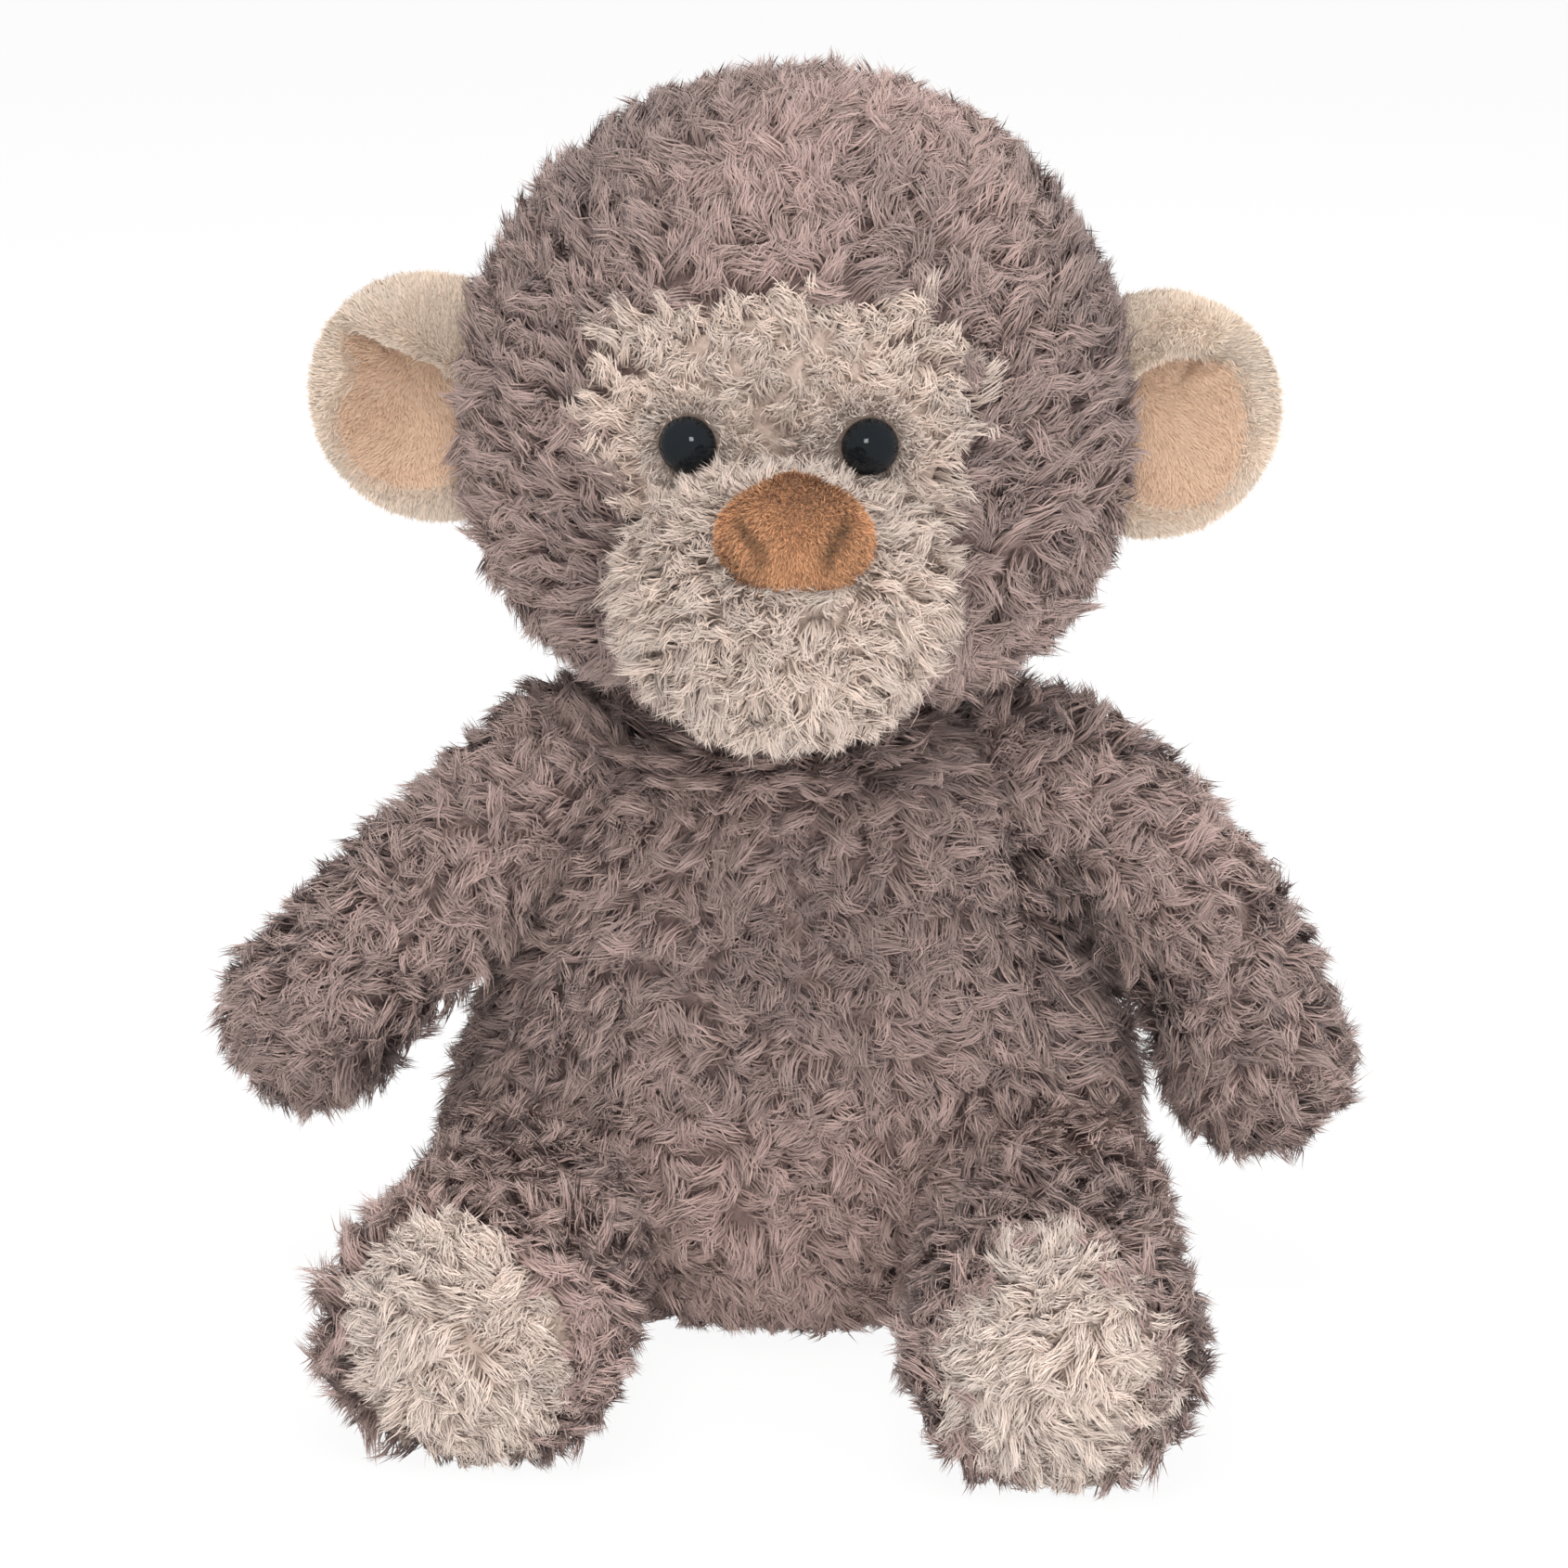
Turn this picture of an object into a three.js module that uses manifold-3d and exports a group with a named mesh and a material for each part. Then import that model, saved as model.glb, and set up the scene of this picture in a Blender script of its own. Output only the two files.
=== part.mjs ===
// A seated plush monkey, 277 mm tall: covers with a thick pile, stuffing, ears, nose, eyes and soles.
// Millimetres, +Z up, the face looks along -Y, and the origin is on the seat where it meets the floor.
// "left" and "right" are the toy's own, so its left side is +X.

import * as THREE from "three";
import { mergeVertices } from "three/addons/utils/BufferGeometryUtils.js";
import { ConvexGeometry } from "three/addons/geometries/ConvexGeometry.js";
import Module from "manifold-3d";

const wasm = await Module();
wasm.setup();

// Cloth and clearances
const PLUSH = 8; // backing and pile of the curly plush, to the pile's mean height
const MINKY = 3; // short velvety cloth of the ears
const NOSE_CLOTH = 2; // short brown pile of the nose
const SEAM_GAP = 0.3; // between pieces that are sewn together or lie on each other
const JOINT_GAP = 0.5; // between pieces that move on each other
const FLAT_CUT = 0.5; // how much of a soft underside the floor flattens

// Torso, a pear from seat to neck: half sizes at heights above the floor
const TORSO = {
  seat: { height: 1, halfWidth: 52, halfDepth: 37 },
  hips: { height: 35, halfWidth: 79, halfDepth: 57 },
  waist: { height: 68, halfWidth: 71, halfDepth: 52 },
  chest: { height: 101, halfWidth: 58, halfDepth: 45 },
  shoulders: { height: 128, halfWidth: 46, halfDepth: 38 },
};
const TORSO_TOP = 147;
const SIDE_SEAM_BACK = 8; // how far behind the middle the side seams run

// Neck, a firm wad of stuffing between torso and head
const NECK_RADIUS = 22;
const NECK_RISE = 3; // neck centre above the torso's top
const NOD_DOWN = 10;
const NOD_UP = 8;

// Head, an egg with full cheeks
const HEAD_HALF_WIDTH = 73;
const HEAD_HALF_DEPTH = 60;
const HEAD_ABOVE = 75; // from the widest level to the crown
const HEAD_BELOW = 60; // from the widest level to the chin
const HEAD_LEVEL = 52; // widest level above the neck centre
const CHEEK_FULLNESS = 2.6; // 2 is an ellipse, more is fuller
const CROWN_FULLNESS = 2.05;

// The face is sewn a little to the toy's right, and the nose nearer to the middle
const FACE_MIDDLE = -2.8;
const NOSE_MIDDLE = -0.4;

// Pale face panel: an outline on the front of the head, heights above the neck centre
const FACE_TOP = { height: 85, levelShare: 0.6, drop: 3 };
const FACE_BROW = { height: 69, halfWidth: 44, rounding: 14 };
const FACE_CHEEK = { height: 40, halfWidth: 33 };
const FACE_REACH = 100; // the outline is cut this far forwards, clear of the head

// Muzzle, a ball on the lower face
const MUZZLE = { halfWidth: 35, length: 38, halfHeight: 30 };
const MUZZLE_RISE = 28; // its centre above the neck centre
const MUZZLE_FORWARD = 60; // its centre ahead of the neck centre

// Nose, a padded rounded triangle on the muzzle's upper front
const NOSE = { halfWidth: 16, halfHeight: 12, thickness: 9, tilt: 45, squareness: 0.6 };
const NOSE_RISE = 3; // how far it sits above the middle of that slope
const NOSE_CORNERS = 0.05; // how far its three corners reach out, as a share of its size

// Safety eyes: a glossy dome on a ribbed shank, held by a washer inside the head
const EYE_DIAMETER = 12;
const EYE_DOME = 5.2;
const EYE_RISE = 59; // above the neck centre
const EYE_SINK = 3.4; // how deep the eye's rim sits in the pile
const EYE_APART = 18.6; // from the middle of the face
const SHANK = { diameter: 4, length: 12 };
const WASHER = { diameter: 15, thickness: 1.6 };

// Ears: two cupped cloth pieces, hinged on their seam at the side of the head
const EAR = { radius: 28, cup: 9, lip: 4.5 };
const EAR_OUT = 8; // centre of the cup outside the seam
const EAR_AHEAD = 4.5; // rim of the cup ahead of the seam
const EAR_SEAM = { radius: 3.6, halfHeight: 19, sink: 2.2, back: 6 };
const EAR_RISE = { left: 52, right: 56 }; // above the neck centre
const EAR_SWEEP = 8; // the outer edge is swept back by this many degrees
const EAR_FOLD = 25;
const EAR_ROOT_REACH = 3; // how far past its seam the ear lies in the head's pile

// Arms: shoulder ball, then a curved arm with a rounded paw
const ARM = { root: 22, middle: 20, paw: 21, tip: 18 };
const SHOULDER = { out: 49, forward: 1, height: 120 };
const ARM_BEND = {
  left: { elbow: [38, -10, -10], paw: [54, -20, -59] },
  right: { elbow: [31, -9, -21], paw: [57, -20, -48] },
}; // outwards, forwards and up from the shoulder
const ARM_RAISE = 60;
const STUFFING_HOLE = 8; // radius of the opening that an arm is stuffed through

// Legs: hip ball, then a straight leg that ends in a flat sole
const LEG = { root: 27.5, middle: 28, foot: 31, flatten: 0.94, tip: 14, length: 80 };
const HIP = { out: 55, height: 28 };
const HIP_FORWARD = { left: 27, right: 16 };
const LEG_SPLAY = { left: -1, right: 8 }; // degrees outwards
const LEG_LIFT = 30;
const SOLE = { halfWidth: 24, halfHeight: 24 };
const SOLE_OVERLAP = 1; // how far the sole's edge reaches past the cover's thickness
const SOLE_SQUARENESS = 2.8;

// Facets: around and along the forms
const ROUND = 24;
const ROUND_INSIDE = 16;
const SMALL_ROUND = 14;
const LIMB_ROUND = 16;
const LIMB_ROUND_INSIDE = 10;
const ROOM_ROUND = 10; // around the room that a moving piece needs
const BODY_STEPS = 14; // from the bottom of the torso or head to its top
const BODY_STEPS_INSIDE = 10;
const LIMB_STEPS = { ball: 4, body: 4, tip: 4 };
const LIMB_STEPS_INSIDE = { ball: 3, body: 3, tip: 3 };
const ROOM_STEPS = { ball: 3, body: 2, tip: 3 };
const ROOT_RINGS = ROOM_STEPS.ball + 2; // rings of a limb's room that reach into the torso

const SIDES = { left: 1, right: -1 };
const UP = new THREE.Vector3(0, 0, 1);

const neckCentre = new THREE.Vector3(0, 0, TORSO_TOP + NECK_RISE);
const headLevel = neckCentre.z + HEAD_LEVEL;

// Materials
function cloth(colour, roughness) {
  return new THREE.MeshStandardMaterial({ color: colour, roughness, metalness: 0 });
}

const materials = {
  brownPlush: cloth(0x9c8780, 1),
  palePlush: cloth(0xc4b09f, 1),
  creamMinky: cloth(0xdcc4ae, 0.9),
  peachMinky: cloth(0xd2a787, 0.9),
  noseCloth: cloth(0xa8794f, 0.9),
  stuffing: cloth(0xf2f2ee, 1),
  eye: new THREE.MeshStandardMaterial({ color: 0x0b0b0d, roughness: 0.08, metalness: 0 }),
  washer: new THREE.MeshStandardMaterial({ color: 0xe8e8e4, roughness: 0.5, metalness: 0 }),
};

// Solids from geometries, and back

function solid(geometry) {
  const bare = geometry.clone();
  bare.deleteAttribute("normal");
  bare.deleteAttribute("uv");
  const merged = mergeVertices(bare, 1e-4);
  return new wasm.Manifold(
    new wasm.Mesh({
      numProp: 3,
      vertProperties: new Float32Array(merged.attributes.position.array),
      triVerts: new Uint32Array(merged.index.array),
    }),
  );
}

function geometryOf(body) {
  const mesh = body.getMesh();
  const geometry = new THREE.BufferGeometry();
  geometry.setAttribute("position", new THREE.BufferAttribute(new Float32Array(mesh.vertProperties), 3));
  geometry.setIndex(new THREE.BufferAttribute(new Uint32Array(mesh.triVerts), 1));
  geometry.computeVertexNormals();
  return geometry;
}

function joined(bodies) {
  return bodies.reduce((all, body) => all.add(body));
}

function cutBy(body, cutters) {
  return cutters.reduce((left, cutter) => left.subtract(cutter), body);
}

// A box from its lowest to its highest corner
function block(low, high) {
  const size = new THREE.Vector3().subVectors(high, low);
  const box = new THREE.BoxGeometry(size.x, size.y, size.z);
  box.translate((low.x + high.x) / 2, (low.y + high.y) / 2, (low.z + high.z) / 2);
  return solid(box);
}

const FAR = 400; // beyond any part of the toy

const belowFloor = block(new THREE.Vector3(-FAR, -FAR, -FAR), new THREE.Vector3(FAR, FAR, 0));

// Closed body through a row of rings of points; the first and last rings are single points
function bodyThroughRings(rings) {
  const positions = [];
  const starts = [];
  for (const ring of rings) {
    starts.push(positions.length / 3);
    ring.forEach((point) => positions.push(point.x, point.y, point.z));
  }
  const index = [];
  for (let level = 0; level < rings.length - 1; level += 1) {
    const low = rings[level].length;
    const high = rings[level + 1].length;
    const count = Math.max(low, high);
    for (let step = 0; step < count; step += 1) {
      const a = starts[level] + (step % low);
      const b = starts[level] + ((step + 1) % low);
      const c = starts[level + 1] + (step % high);
      const d = starts[level + 1] + ((step + 1) % high);
      if (low > 1) index.push(a, b, d);
      if (high > 1) index.push(a, d, c);
    }
  }
  const geometry = new THREE.BufferGeometry();
  geometry.setAttribute("position", new THREE.Float32BufferAttribute(positions, 3));
  geometry.setIndex(index);
  return geometry;
}

// Moves a profile outwards by a distance: each entry has a place along the axis and two half sizes
function grown(profile, distance) {
  const last = profile.length - 1;
  return profile.map((entry, place) => {
    const before = profile[Math.max(place - 1, 0)];
    const after = profile[Math.min(place + 1, last)];
    const run = after.along - before.along;
    const rise = (after.width + after.depth - before.width - before.depth) / 2;
    const length = Math.hypot(run, rise);
    const pole = place === 0 || place === last;
    const axial = pole ? (place === 0 ? -1 : 1) : -rise / length;
    const radial = pole ? 0 : run / length;
    return {
      along: entry.along + distance * axial,
      width: entry.width + distance * radial,
      depth: entry.depth + distance * radial,
    };
  });
}

function ellipseRing(centre, across, upwards, width, depth, count) {
  if (width <= 0 || depth <= 0) return [centre.clone()];
  return Array.from({ length: count }, (_, step) => {
    const angle = (step / count) * Math.PI * 2;
    return centre
      .clone()
      .addScaledVector(across, Math.cos(angle) * width)
      .addScaledVector(upwards, Math.sin(angle) * depth);
  });
}

// Upright form from a profile of heights and half sizes
function uprightForm(profile, centreY, count) {
  const across = new THREE.Vector3(1, 0, 0);
  const backwards = new THREE.Vector3(0, 1, 0);
  return bodyThroughRings(
    profile.map((entry) =>
      ellipseRing(new THREE.Vector3(0, centreY, entry.along), across, backwards, entry.width, entry.depth, count),
    ),
  );
}

// Torso

function torsoProfile(steps) {
  const stations = [TORSO.seat, TORSO.hips, TORSO.waist, TORSO.chest, TORSO.shoulders];
  const points = stations.map((entry) => new THREE.Vector3(entry.halfWidth, entry.halfDepth, entry.height));
  points.unshift(new THREE.Vector3(0, 0, -FLAT_CUT));
  points.push(new THREE.Vector3(0, 0, TORSO_TOP));
  const curve = new THREE.CatmullRomCurve3(points, false, "centripetal");
  return curve.getSpacedPoints(steps).map((point, place) => ({
    along: point.z,
    width: place === 0 || place === steps ? 0 : point.x,
    depth: place === 0 || place === steps ? 0 : point.y,
  }));
}

function torsoForm(distance, count, steps) {
  return solid(uprightForm(grown(torsoProfile(steps), distance), 0, count));
}

// Head

function headProfile(steps) {
  return Array.from({ length: steps + 1 }, (_, place) => {
    const angle = (place / steps - 0.5) * Math.PI;
    const reach = angle < 0 ? HEAD_BELOW : HEAD_ABOVE;
    const power = 2 / (angle < 0 ? CHEEK_FULLNESS : CROWN_FULLNESS);
    const share = place === 0 || place === steps ? 0 : Math.cos(angle) ** power;
    return {
      along: headLevel + Math.sign(angle) * reach * Math.abs(Math.sin(angle)) ** power,
      width: HEAD_HALF_WIDTH * share,
      depth: HEAD_HALF_DEPTH * share,
    };
  });
}

function headForm(distance, count, steps) {
  return solid(uprightForm(grown(headProfile(steps), distance), 0, count));
}

function muzzleForm(distance, count) {
  const ball = new THREE.SphereGeometry(1, count, count / 2 + 1);
  ball.scale(MUZZLE.halfWidth + distance, MUZZLE.length + distance, MUZZLE.halfHeight + distance);
  ball.translate(FACE_MIDDLE, -MUZZLE_FORWARD, neckCentre.z + MUZZLE_RISE);
  return solid(ball);
}

// Room that the torso's top sweeps, seen from the head, while the head turns and nods
function headSeat() {
  const margin = JOINT_GAP + facetMargin(TORSO.shoulders.halfWidth);
  const top = grown(torsoProfile(BODY_STEPS), margin).filter((entry) => entry.along > TORSO.shoulders.height);
  const outline = top.map((entry) => new THREE.Vector2(entry.width, entry.along - neckCentre.z));
  outline.unshift(new THREE.Vector2(0, outline[0].y));
  const lathe = new THREE.LatheGeometry(outline, ROUND_INSIDE);
  lathe.rotateX(Math.PI / 2);
  const seats = [-NOD_DOWN, 0, NOD_UP].map((nod) => {
    const tilted = lathe.clone().rotateX(THREE.MathUtils.degToRad(nod));
    return solid(tilted.translate(0, 0, neckCentre.z));
  });
  return joined(seats);
}

function ballAt(centre, radius, count) {
  const ball = new THREE.SphereGeometry(radius, count, count / 2);
  ball.translate(centre.x, centre.y, centre.z);
  return solid(ball);
}

// Limbs: a ball at the joint, a body along a path, and a rounded end

function limbProfile(limb, length, steps) {
  const profile = [];
  for (let step = 0; step < steps.ball; step += 1) {
    const angle = (step / steps.ball - 1) * (Math.PI / 2);
    const size = step === 0 ? 0 : limb.root * Math.cos(angle);
    profile.push({ along: limb.root * Math.sin(angle), width: size, depth: size });
  }
  const swell = new THREE.CatmullRomCurve3([
    new THREE.Vector3(0, limb.root, limb.root),
    new THREE.Vector3(length / 2, limb.middle, limb.middle),
    new THREE.Vector3(length, limb.end, limb.end * limb.flatten),
  ]);
  swell.getPoints(steps.body).forEach((point) => {
    profile.push({ along: point.x, width: point.y, depth: point.z });
  });
  for (let step = 1; step <= steps.tip; step += 1) {
    const angle = (step / steps.tip) * (Math.PI / 2);
    const power = 2 / limb.squareness;
    const share = step === steps.tip ? 0 : Math.cos(angle) ** power;
    const along = length + limb.tip * Math.sin(angle) ** power;
    profile.push({ along, width: limb.end * share, depth: limb.end * limb.flatten * share });
  }
  return profile;
}

function limbRings(limb, distance, count, steps) {
  const length = limb.path.getLength();
  const profile = grown(limbProfile(limb, length, steps), distance);
  return profile.map((entry) => {
    const share = THREE.MathUtils.clamp(entry.along / length, 0, 1);
    const ahead = limb.path.getTangentAt(share);
    const beyond = entry.along - share * length;
    const centre = limb.path.getPointAt(share).addScaledVector(ahead, beyond);
    const across = new THREE.Vector3().crossVectors(limb.upright, ahead).normalize();
    const upwards = new THREE.Vector3().crossVectors(ahead, across).normalize();
    return ellipseRing(centre, across, upwards, entry.width, entry.depth, count);
  });
}

function limbOutside(limb) {
  return solid(bodyThroughRings(limbRings(limb, 0, LIMB_ROUND, LIMB_STEPS)));
}

function limbInside(limb, distance) {
  return solid(bodyThroughRings(limbRings(limb, distance, LIMB_ROUND_INSIDE, LIMB_STEPS_INSIDE)));
}

// What a coarse round form is grown by, so that its flats clear the true circle
function facetMargin(radius) {
  return radius * (1 / Math.cos(Math.PI / ROOM_ROUND) - 1);
}

// Room that the first rings of a limb sweep while it turns about its joint
function sweptRoom(limb, distance) {
  const margin = distance + facetMargin(limb.root);
  const points = limbRings(limb, margin, ROOM_ROUND, ROOM_STEPS).slice(0, ROOT_RINGS).flat();
  const steps = 2;
  const swept = [];
  for (let step = 0; step <= steps; step += 1) {
    const angle = THREE.MathUtils.degToRad((limb.range * step) / steps);
    points.forEach((point) => {
      swept.push(point.clone().sub(limb.joint).applyAxisAngle(limb.axis, angle).add(limb.joint));
    });
  }
  return solid(new ConvexGeometry(swept));
}

// Room for the rest of the limb, which only touches the torso while it hangs
function restingRoom(limb, distance) {
  const margin = distance + facetMargin(limb.end);
  const rings = limbRings(limb, margin, ROOM_ROUND, ROOM_STEPS).slice(ROOT_RINGS - 1);
  const centre = rings[0].reduce((sum, point) => sum.add(point), new THREE.Vector3());
  return solid(bodyThroughRings([[centre.divideScalar(ROOM_ROUND)], ...rings]));
}

function arm(side) {
  const sign = SIDES[side];
  const joint = new THREE.Vector3(sign * SHOULDER.out, -SHOULDER.forward, SHOULDER.height);
  const [elbow, paw] = [ARM_BEND[side].elbow, ARM_BEND[side].paw].map(
    ([out, forward, rise]) => new THREE.Vector3(sign * out, forward, rise).add(joint),
  );
  return {
    ...ARM,
    end: ARM.paw,
    flatten: 1,
    squareness: 2,
    path: new THREE.QuadraticBezierCurve3(joint, elbow, paw),
    upright: new THREE.Vector3(0, 1, 0),
    joint,
    axis: new THREE.Vector3(0, -sign, 0),
    range: ARM_RAISE,
  };
}

function leg(side) {
  const sign = SIDES[side];
  const joint = new THREE.Vector3(sign * HIP.out, -HIP_FORWARD[side], HIP.height);
  const splay = THREE.MathUtils.degToRad(LEG_SPLAY[side]);
  const ahead = new THREE.Vector3(sign * Math.sin(splay), -Math.cos(splay), 0);
  const ankle = joint.clone().addScaledVector(ahead, LEG.length);
  ankle.z = LEG.foot * LEG.flatten - FLAT_CUT;
  return {
    ...LEG,
    end: LEG.foot,
    squareness: SOLE_SQUARENESS,
    path: new THREE.LineCurve3(joint, ankle),
    upright: UP,
    joint,
    axis: new THREE.Vector3(-1, 0, 0),
    range: LEG_LIFT,
    ahead,
    ankle,
  };
}

const arms = { left: arm("left"), right: arm("right") };
const legs = { left: leg("left"), right: leg("right") };
const limbs = [...Object.values(arms), ...Object.values(legs)];

// Where the torso gives way to the limbs, grown by a distance
function limbRoom(distance) {
  const roots = limbs.map((limb) => sweptRoom(limb, distance));
  const hanging = Object.values(arms).map((limb) => restingRoom(limb, distance));
  return joined([...roots, ...hanging]);
}

// The scene graph: one group for each part that moves on its own, placed at its joint

const monkey = new THREE.Group();

function movingPart(parent, joint) {
  const group = new THREE.Group();
  group.position.copy(joint);
  let above = parent;
  while (above) {
    group.position.sub(above.position);
    above = above.parent;
  }
  parent.add(group);
  group.userData.joint = joint.clone();
  return group;
}

function addPiece(group, name, body, material) {
  const geometry = geometryOf(body);
  const { x, y, z } = group.userData.joint;
  geometry.translate(-x, -y, -z);
  const mesh = new THREE.Mesh(geometry, material);
  mesh.name = name;
  group.add(mesh);
}

const torsoGroup = movingPart(monkey, new THREE.Vector3());
const neckGroup = movingPart(torsoGroup, neckCentre);
const headGroup = movingPart(neckGroup, neckCentre);

// Torso: a front and a back cover, sewn at the sides, over one stuffing
function makeTorso() {
  const neckRoom = ballAt(neckCentre, NECK_RADIUS + JOINT_GAP, ROUND);
  const outside = cutBy(torsoForm(0, ROUND, BODY_STEPS), [limbRoom(JOINT_GAP), belowFloor]);
  const inside = cutBy(torsoForm(-PLUSH, ROUND_INSIDE, BODY_STEPS_INSIDE), [limbRoom(JOINT_GAP + PLUSH)]);
  const cover = cutBy(outside, [inside, neckRoom]);
  const seam = SIDE_SEAM_BACK;
  const behind = block(new THREE.Vector3(-FAR, seam - SEAM_GAP / 2, -FAR), new THREE.Vector3(FAR, FAR, FAR));
  const ahead = block(new THREE.Vector3(-FAR, -FAR, -FAR), new THREE.Vector3(FAR, seam + SEAM_GAP / 2, FAR));
  addPiece(torsoGroup, "torso_cover_front", cover.subtract(behind), materials.brownPlush);
  addPiece(torsoGroup, "torso_cover_back", cover.subtract(ahead), materials.brownPlush);
  const filling = cutBy(torsoForm(-PLUSH - SEAM_GAP, ROUND_INSIDE, BODY_STEPS_INSIDE), [
    limbRoom(JOINT_GAP + PLUSH + SEAM_GAP),
    neckRoom,
  ]);
  addPiece(torsoGroup, "torso_stuffing", filling, materials.stuffing);
}

// Outline of the pale face panel, extruded through the front of the head
function facePrism(distance) {
  const bottom = MUZZLE_RISE - MUZZLE.halfHeight / 2;
  const brow = FACE_BROW.halfWidth + distance;
  const cheek = FACE_CHEEK.halfWidth + distance;
  const top = FACE_TOP.height + distance;
  const level = brow * FACE_TOP.levelShare;
  const corner = top - FACE_TOP.drop;
  const turn = FACE_BROW.height - FACE_BROW.rounding;
  const shape = new THREE.Shape();
  shape.moveTo(-cheek, bottom);
  shape.lineTo(cheek, bottom);
  shape.lineTo(cheek, FACE_CHEEK.height);
  shape.bezierCurveTo(cheek, turn, brow, turn, brow, FACE_BROW.height);
  shape.bezierCurveTo(brow, corner, level, top, 0, top);
  shape.bezierCurveTo(-level, top, -brow, corner, -brow, FACE_BROW.height);
  shape.bezierCurveTo(-brow, turn, -cheek, turn, -cheek, FACE_CHEEK.height);
  const prism = new THREE.ExtrudeGeometry(shape, { depth: FACE_REACH, bevelEnabled: false, curveSegments: 6 });
  prism.rotateX(Math.PI / 2);
  prism.translate(FACE_MIDDLE, 0, neckCentre.z);
  return solid(prism);
}

// Eye, washer and the holes for them, revolved about the axis that points out of the face
function revolved(points, place) {
  const outline = points.map(([radius, along]) => new THREE.Vector2(radius, along));
  const lathe = new THREE.LatheGeometry(outline, SMALL_ROUND);
  lathe.rotateX(Math.PI);
  lathe.translate(place.x, place.y, place.z);
  return solid(lathe);
}

// Depth of the head's front surface at a point of the face
function faceDepth(x, height, distance) {
  const level = (height - HEAD_LEVEL) / HEAD_ABOVE;
  const share = Math.sqrt(1 - level * level);
  const across = x / ((HEAD_HALF_WIDTH + distance) * share);
  return -(HEAD_HALF_DEPTH + distance) * share * Math.sqrt(1 - across * across);
}

function eyePlace(side) {
  const x = FACE_MIDDLE + SIDES[side] * EYE_APART;
  return new THREE.Vector3(x, faceDepth(x, EYE_RISE, 0) + EYE_SINK, neckCentre.z + EYE_RISE);
}

function eyeOutline() {
  const radius = EYE_DIAMETER / 2;
  const outline = [[0, -SHANK.length]];
  outline.push([SHANK.diameter / 2, -SHANK.length]);
  outline.push([SHANK.diameter / 2, 0]);
  outline.push([radius, 0]);
  const steps = 5;
  for (let step = 0; step < steps; step += 1) {
    const angle = (step / steps) * (Math.PI / 2);
    outline.push([radius * Math.cos(angle), 1 + (EYE_DOME - 1) * Math.sin(angle)]);
  }
  outline.push([0, EYE_DOME]);
  return outline;
}

// Washer behind the cloth: its front face clears the curved inside of the face panel
function washerFront(side) {
  const place = eyePlace(side);
  const edge = Math.abs(place.x) + WASHER.diameter / 2;
  return place.y - faceDepth(edge, EYE_RISE, -PLUSH) - SEAM_GAP;
}

function eyeRoom(side, distance) {
  const radius = EYE_DIAMETER / 2 + distance;
  const shank = SHANK.diameter / 2 + distance;
  return revolved(
    [
      [0, -SHANK.length - distance],
      [shank, -SHANK.length - distance],
      [shank, -distance],
      [radius, -distance],
      [radius, EYE_DOME + EYE_SINK],
      [0, EYE_DOME + EYE_SINK],
    ],
    eyePlace(side),
  );
}

function washerRing(side) {
  const front = washerFront(side);
  const back = front - WASHER.thickness;
  const outer = WASHER.diameter / 2;
  const inner = SHANK.diameter / 2 + SEAM_GAP;
  const outline = [
    [inner, back],
    [outer, back],
    [outer, front],
    [inner, front],
    [inner, back],
  ];
  return revolved(outline, eyePlace(side));
}

// Pocket for the washer, which opens forwards up to a distance ahead of it
function washerRoom(side, forwards) {
  const front = washerFront(side) + forwards;
  const back = washerFront(side) - WASHER.thickness - SEAM_GAP;
  const outer = WASHER.diameter / 2 + SEAM_GAP;
  const outline = [
    [0, back],
    [outer, back],
    [outer, front],
    [0, front],
  ];
  return revolved(outline, eyePlace(side));
}

// Nose: rings shaped as a rounded triangle, stacked into a dome, on the muzzle's slope
function noseForm(distance) {
  const steps = 5;
  const count = SMALL_ROUND;
  const base = -NOSE.thickness;
  const rings = [
    { height: base, share: 0 },
    { height: base, share: 1 },
  ];
  for (let step = 0; step <= steps; step += 1) {
    const angle = (step / steps) * (Math.PI / 2);
    const share = step === steps ? 0 : Math.cos(angle) ** NOSE.squareness;
    rings.push({ height: (NOSE.thickness + distance) * Math.sin(angle), share });
  }
  const points = rings.map((ring) => {
    if (ring.share === 0) return [new THREE.Vector3(0, 0, ring.height)];
    return Array.from({ length: count }, (_, step) => {
      const angle = (step / count) * Math.PI * 2;
      const corner = 1 + NOSE_CORNERS * Math.cos(3 * (angle + Math.PI / 2));
      const wide = (NOSE.halfWidth * corner + distance) * ring.share;
      const high = (NOSE.halfHeight * corner + distance) * ring.share;
      return new THREE.Vector3(Math.cos(angle) * wide, Math.sin(angle) * high, ring.height);
    });
  });
  const geometry = bodyThroughRings(points);
  const tilt = THREE.MathUtils.degToRad(NOSE.tilt);
  geometry.rotateX(Math.PI / 2 - tilt);
  const [ahead, above] = [MUZZLE.length * Math.cos(tilt), MUZZLE.halfHeight * Math.sin(tilt)];
  const reach = Math.hypot(ahead, above);
  geometry.translate(
    NOSE_MIDDLE,
    -MUZZLE_FORWARD - (MUZZLE.length * ahead) / reach,
    neckCentre.z + MUZZLE_RISE + NOSE_RISE + (MUZZLE.halfHeight * above) / reach,
  );
  return solid(geometry);
}

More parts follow.
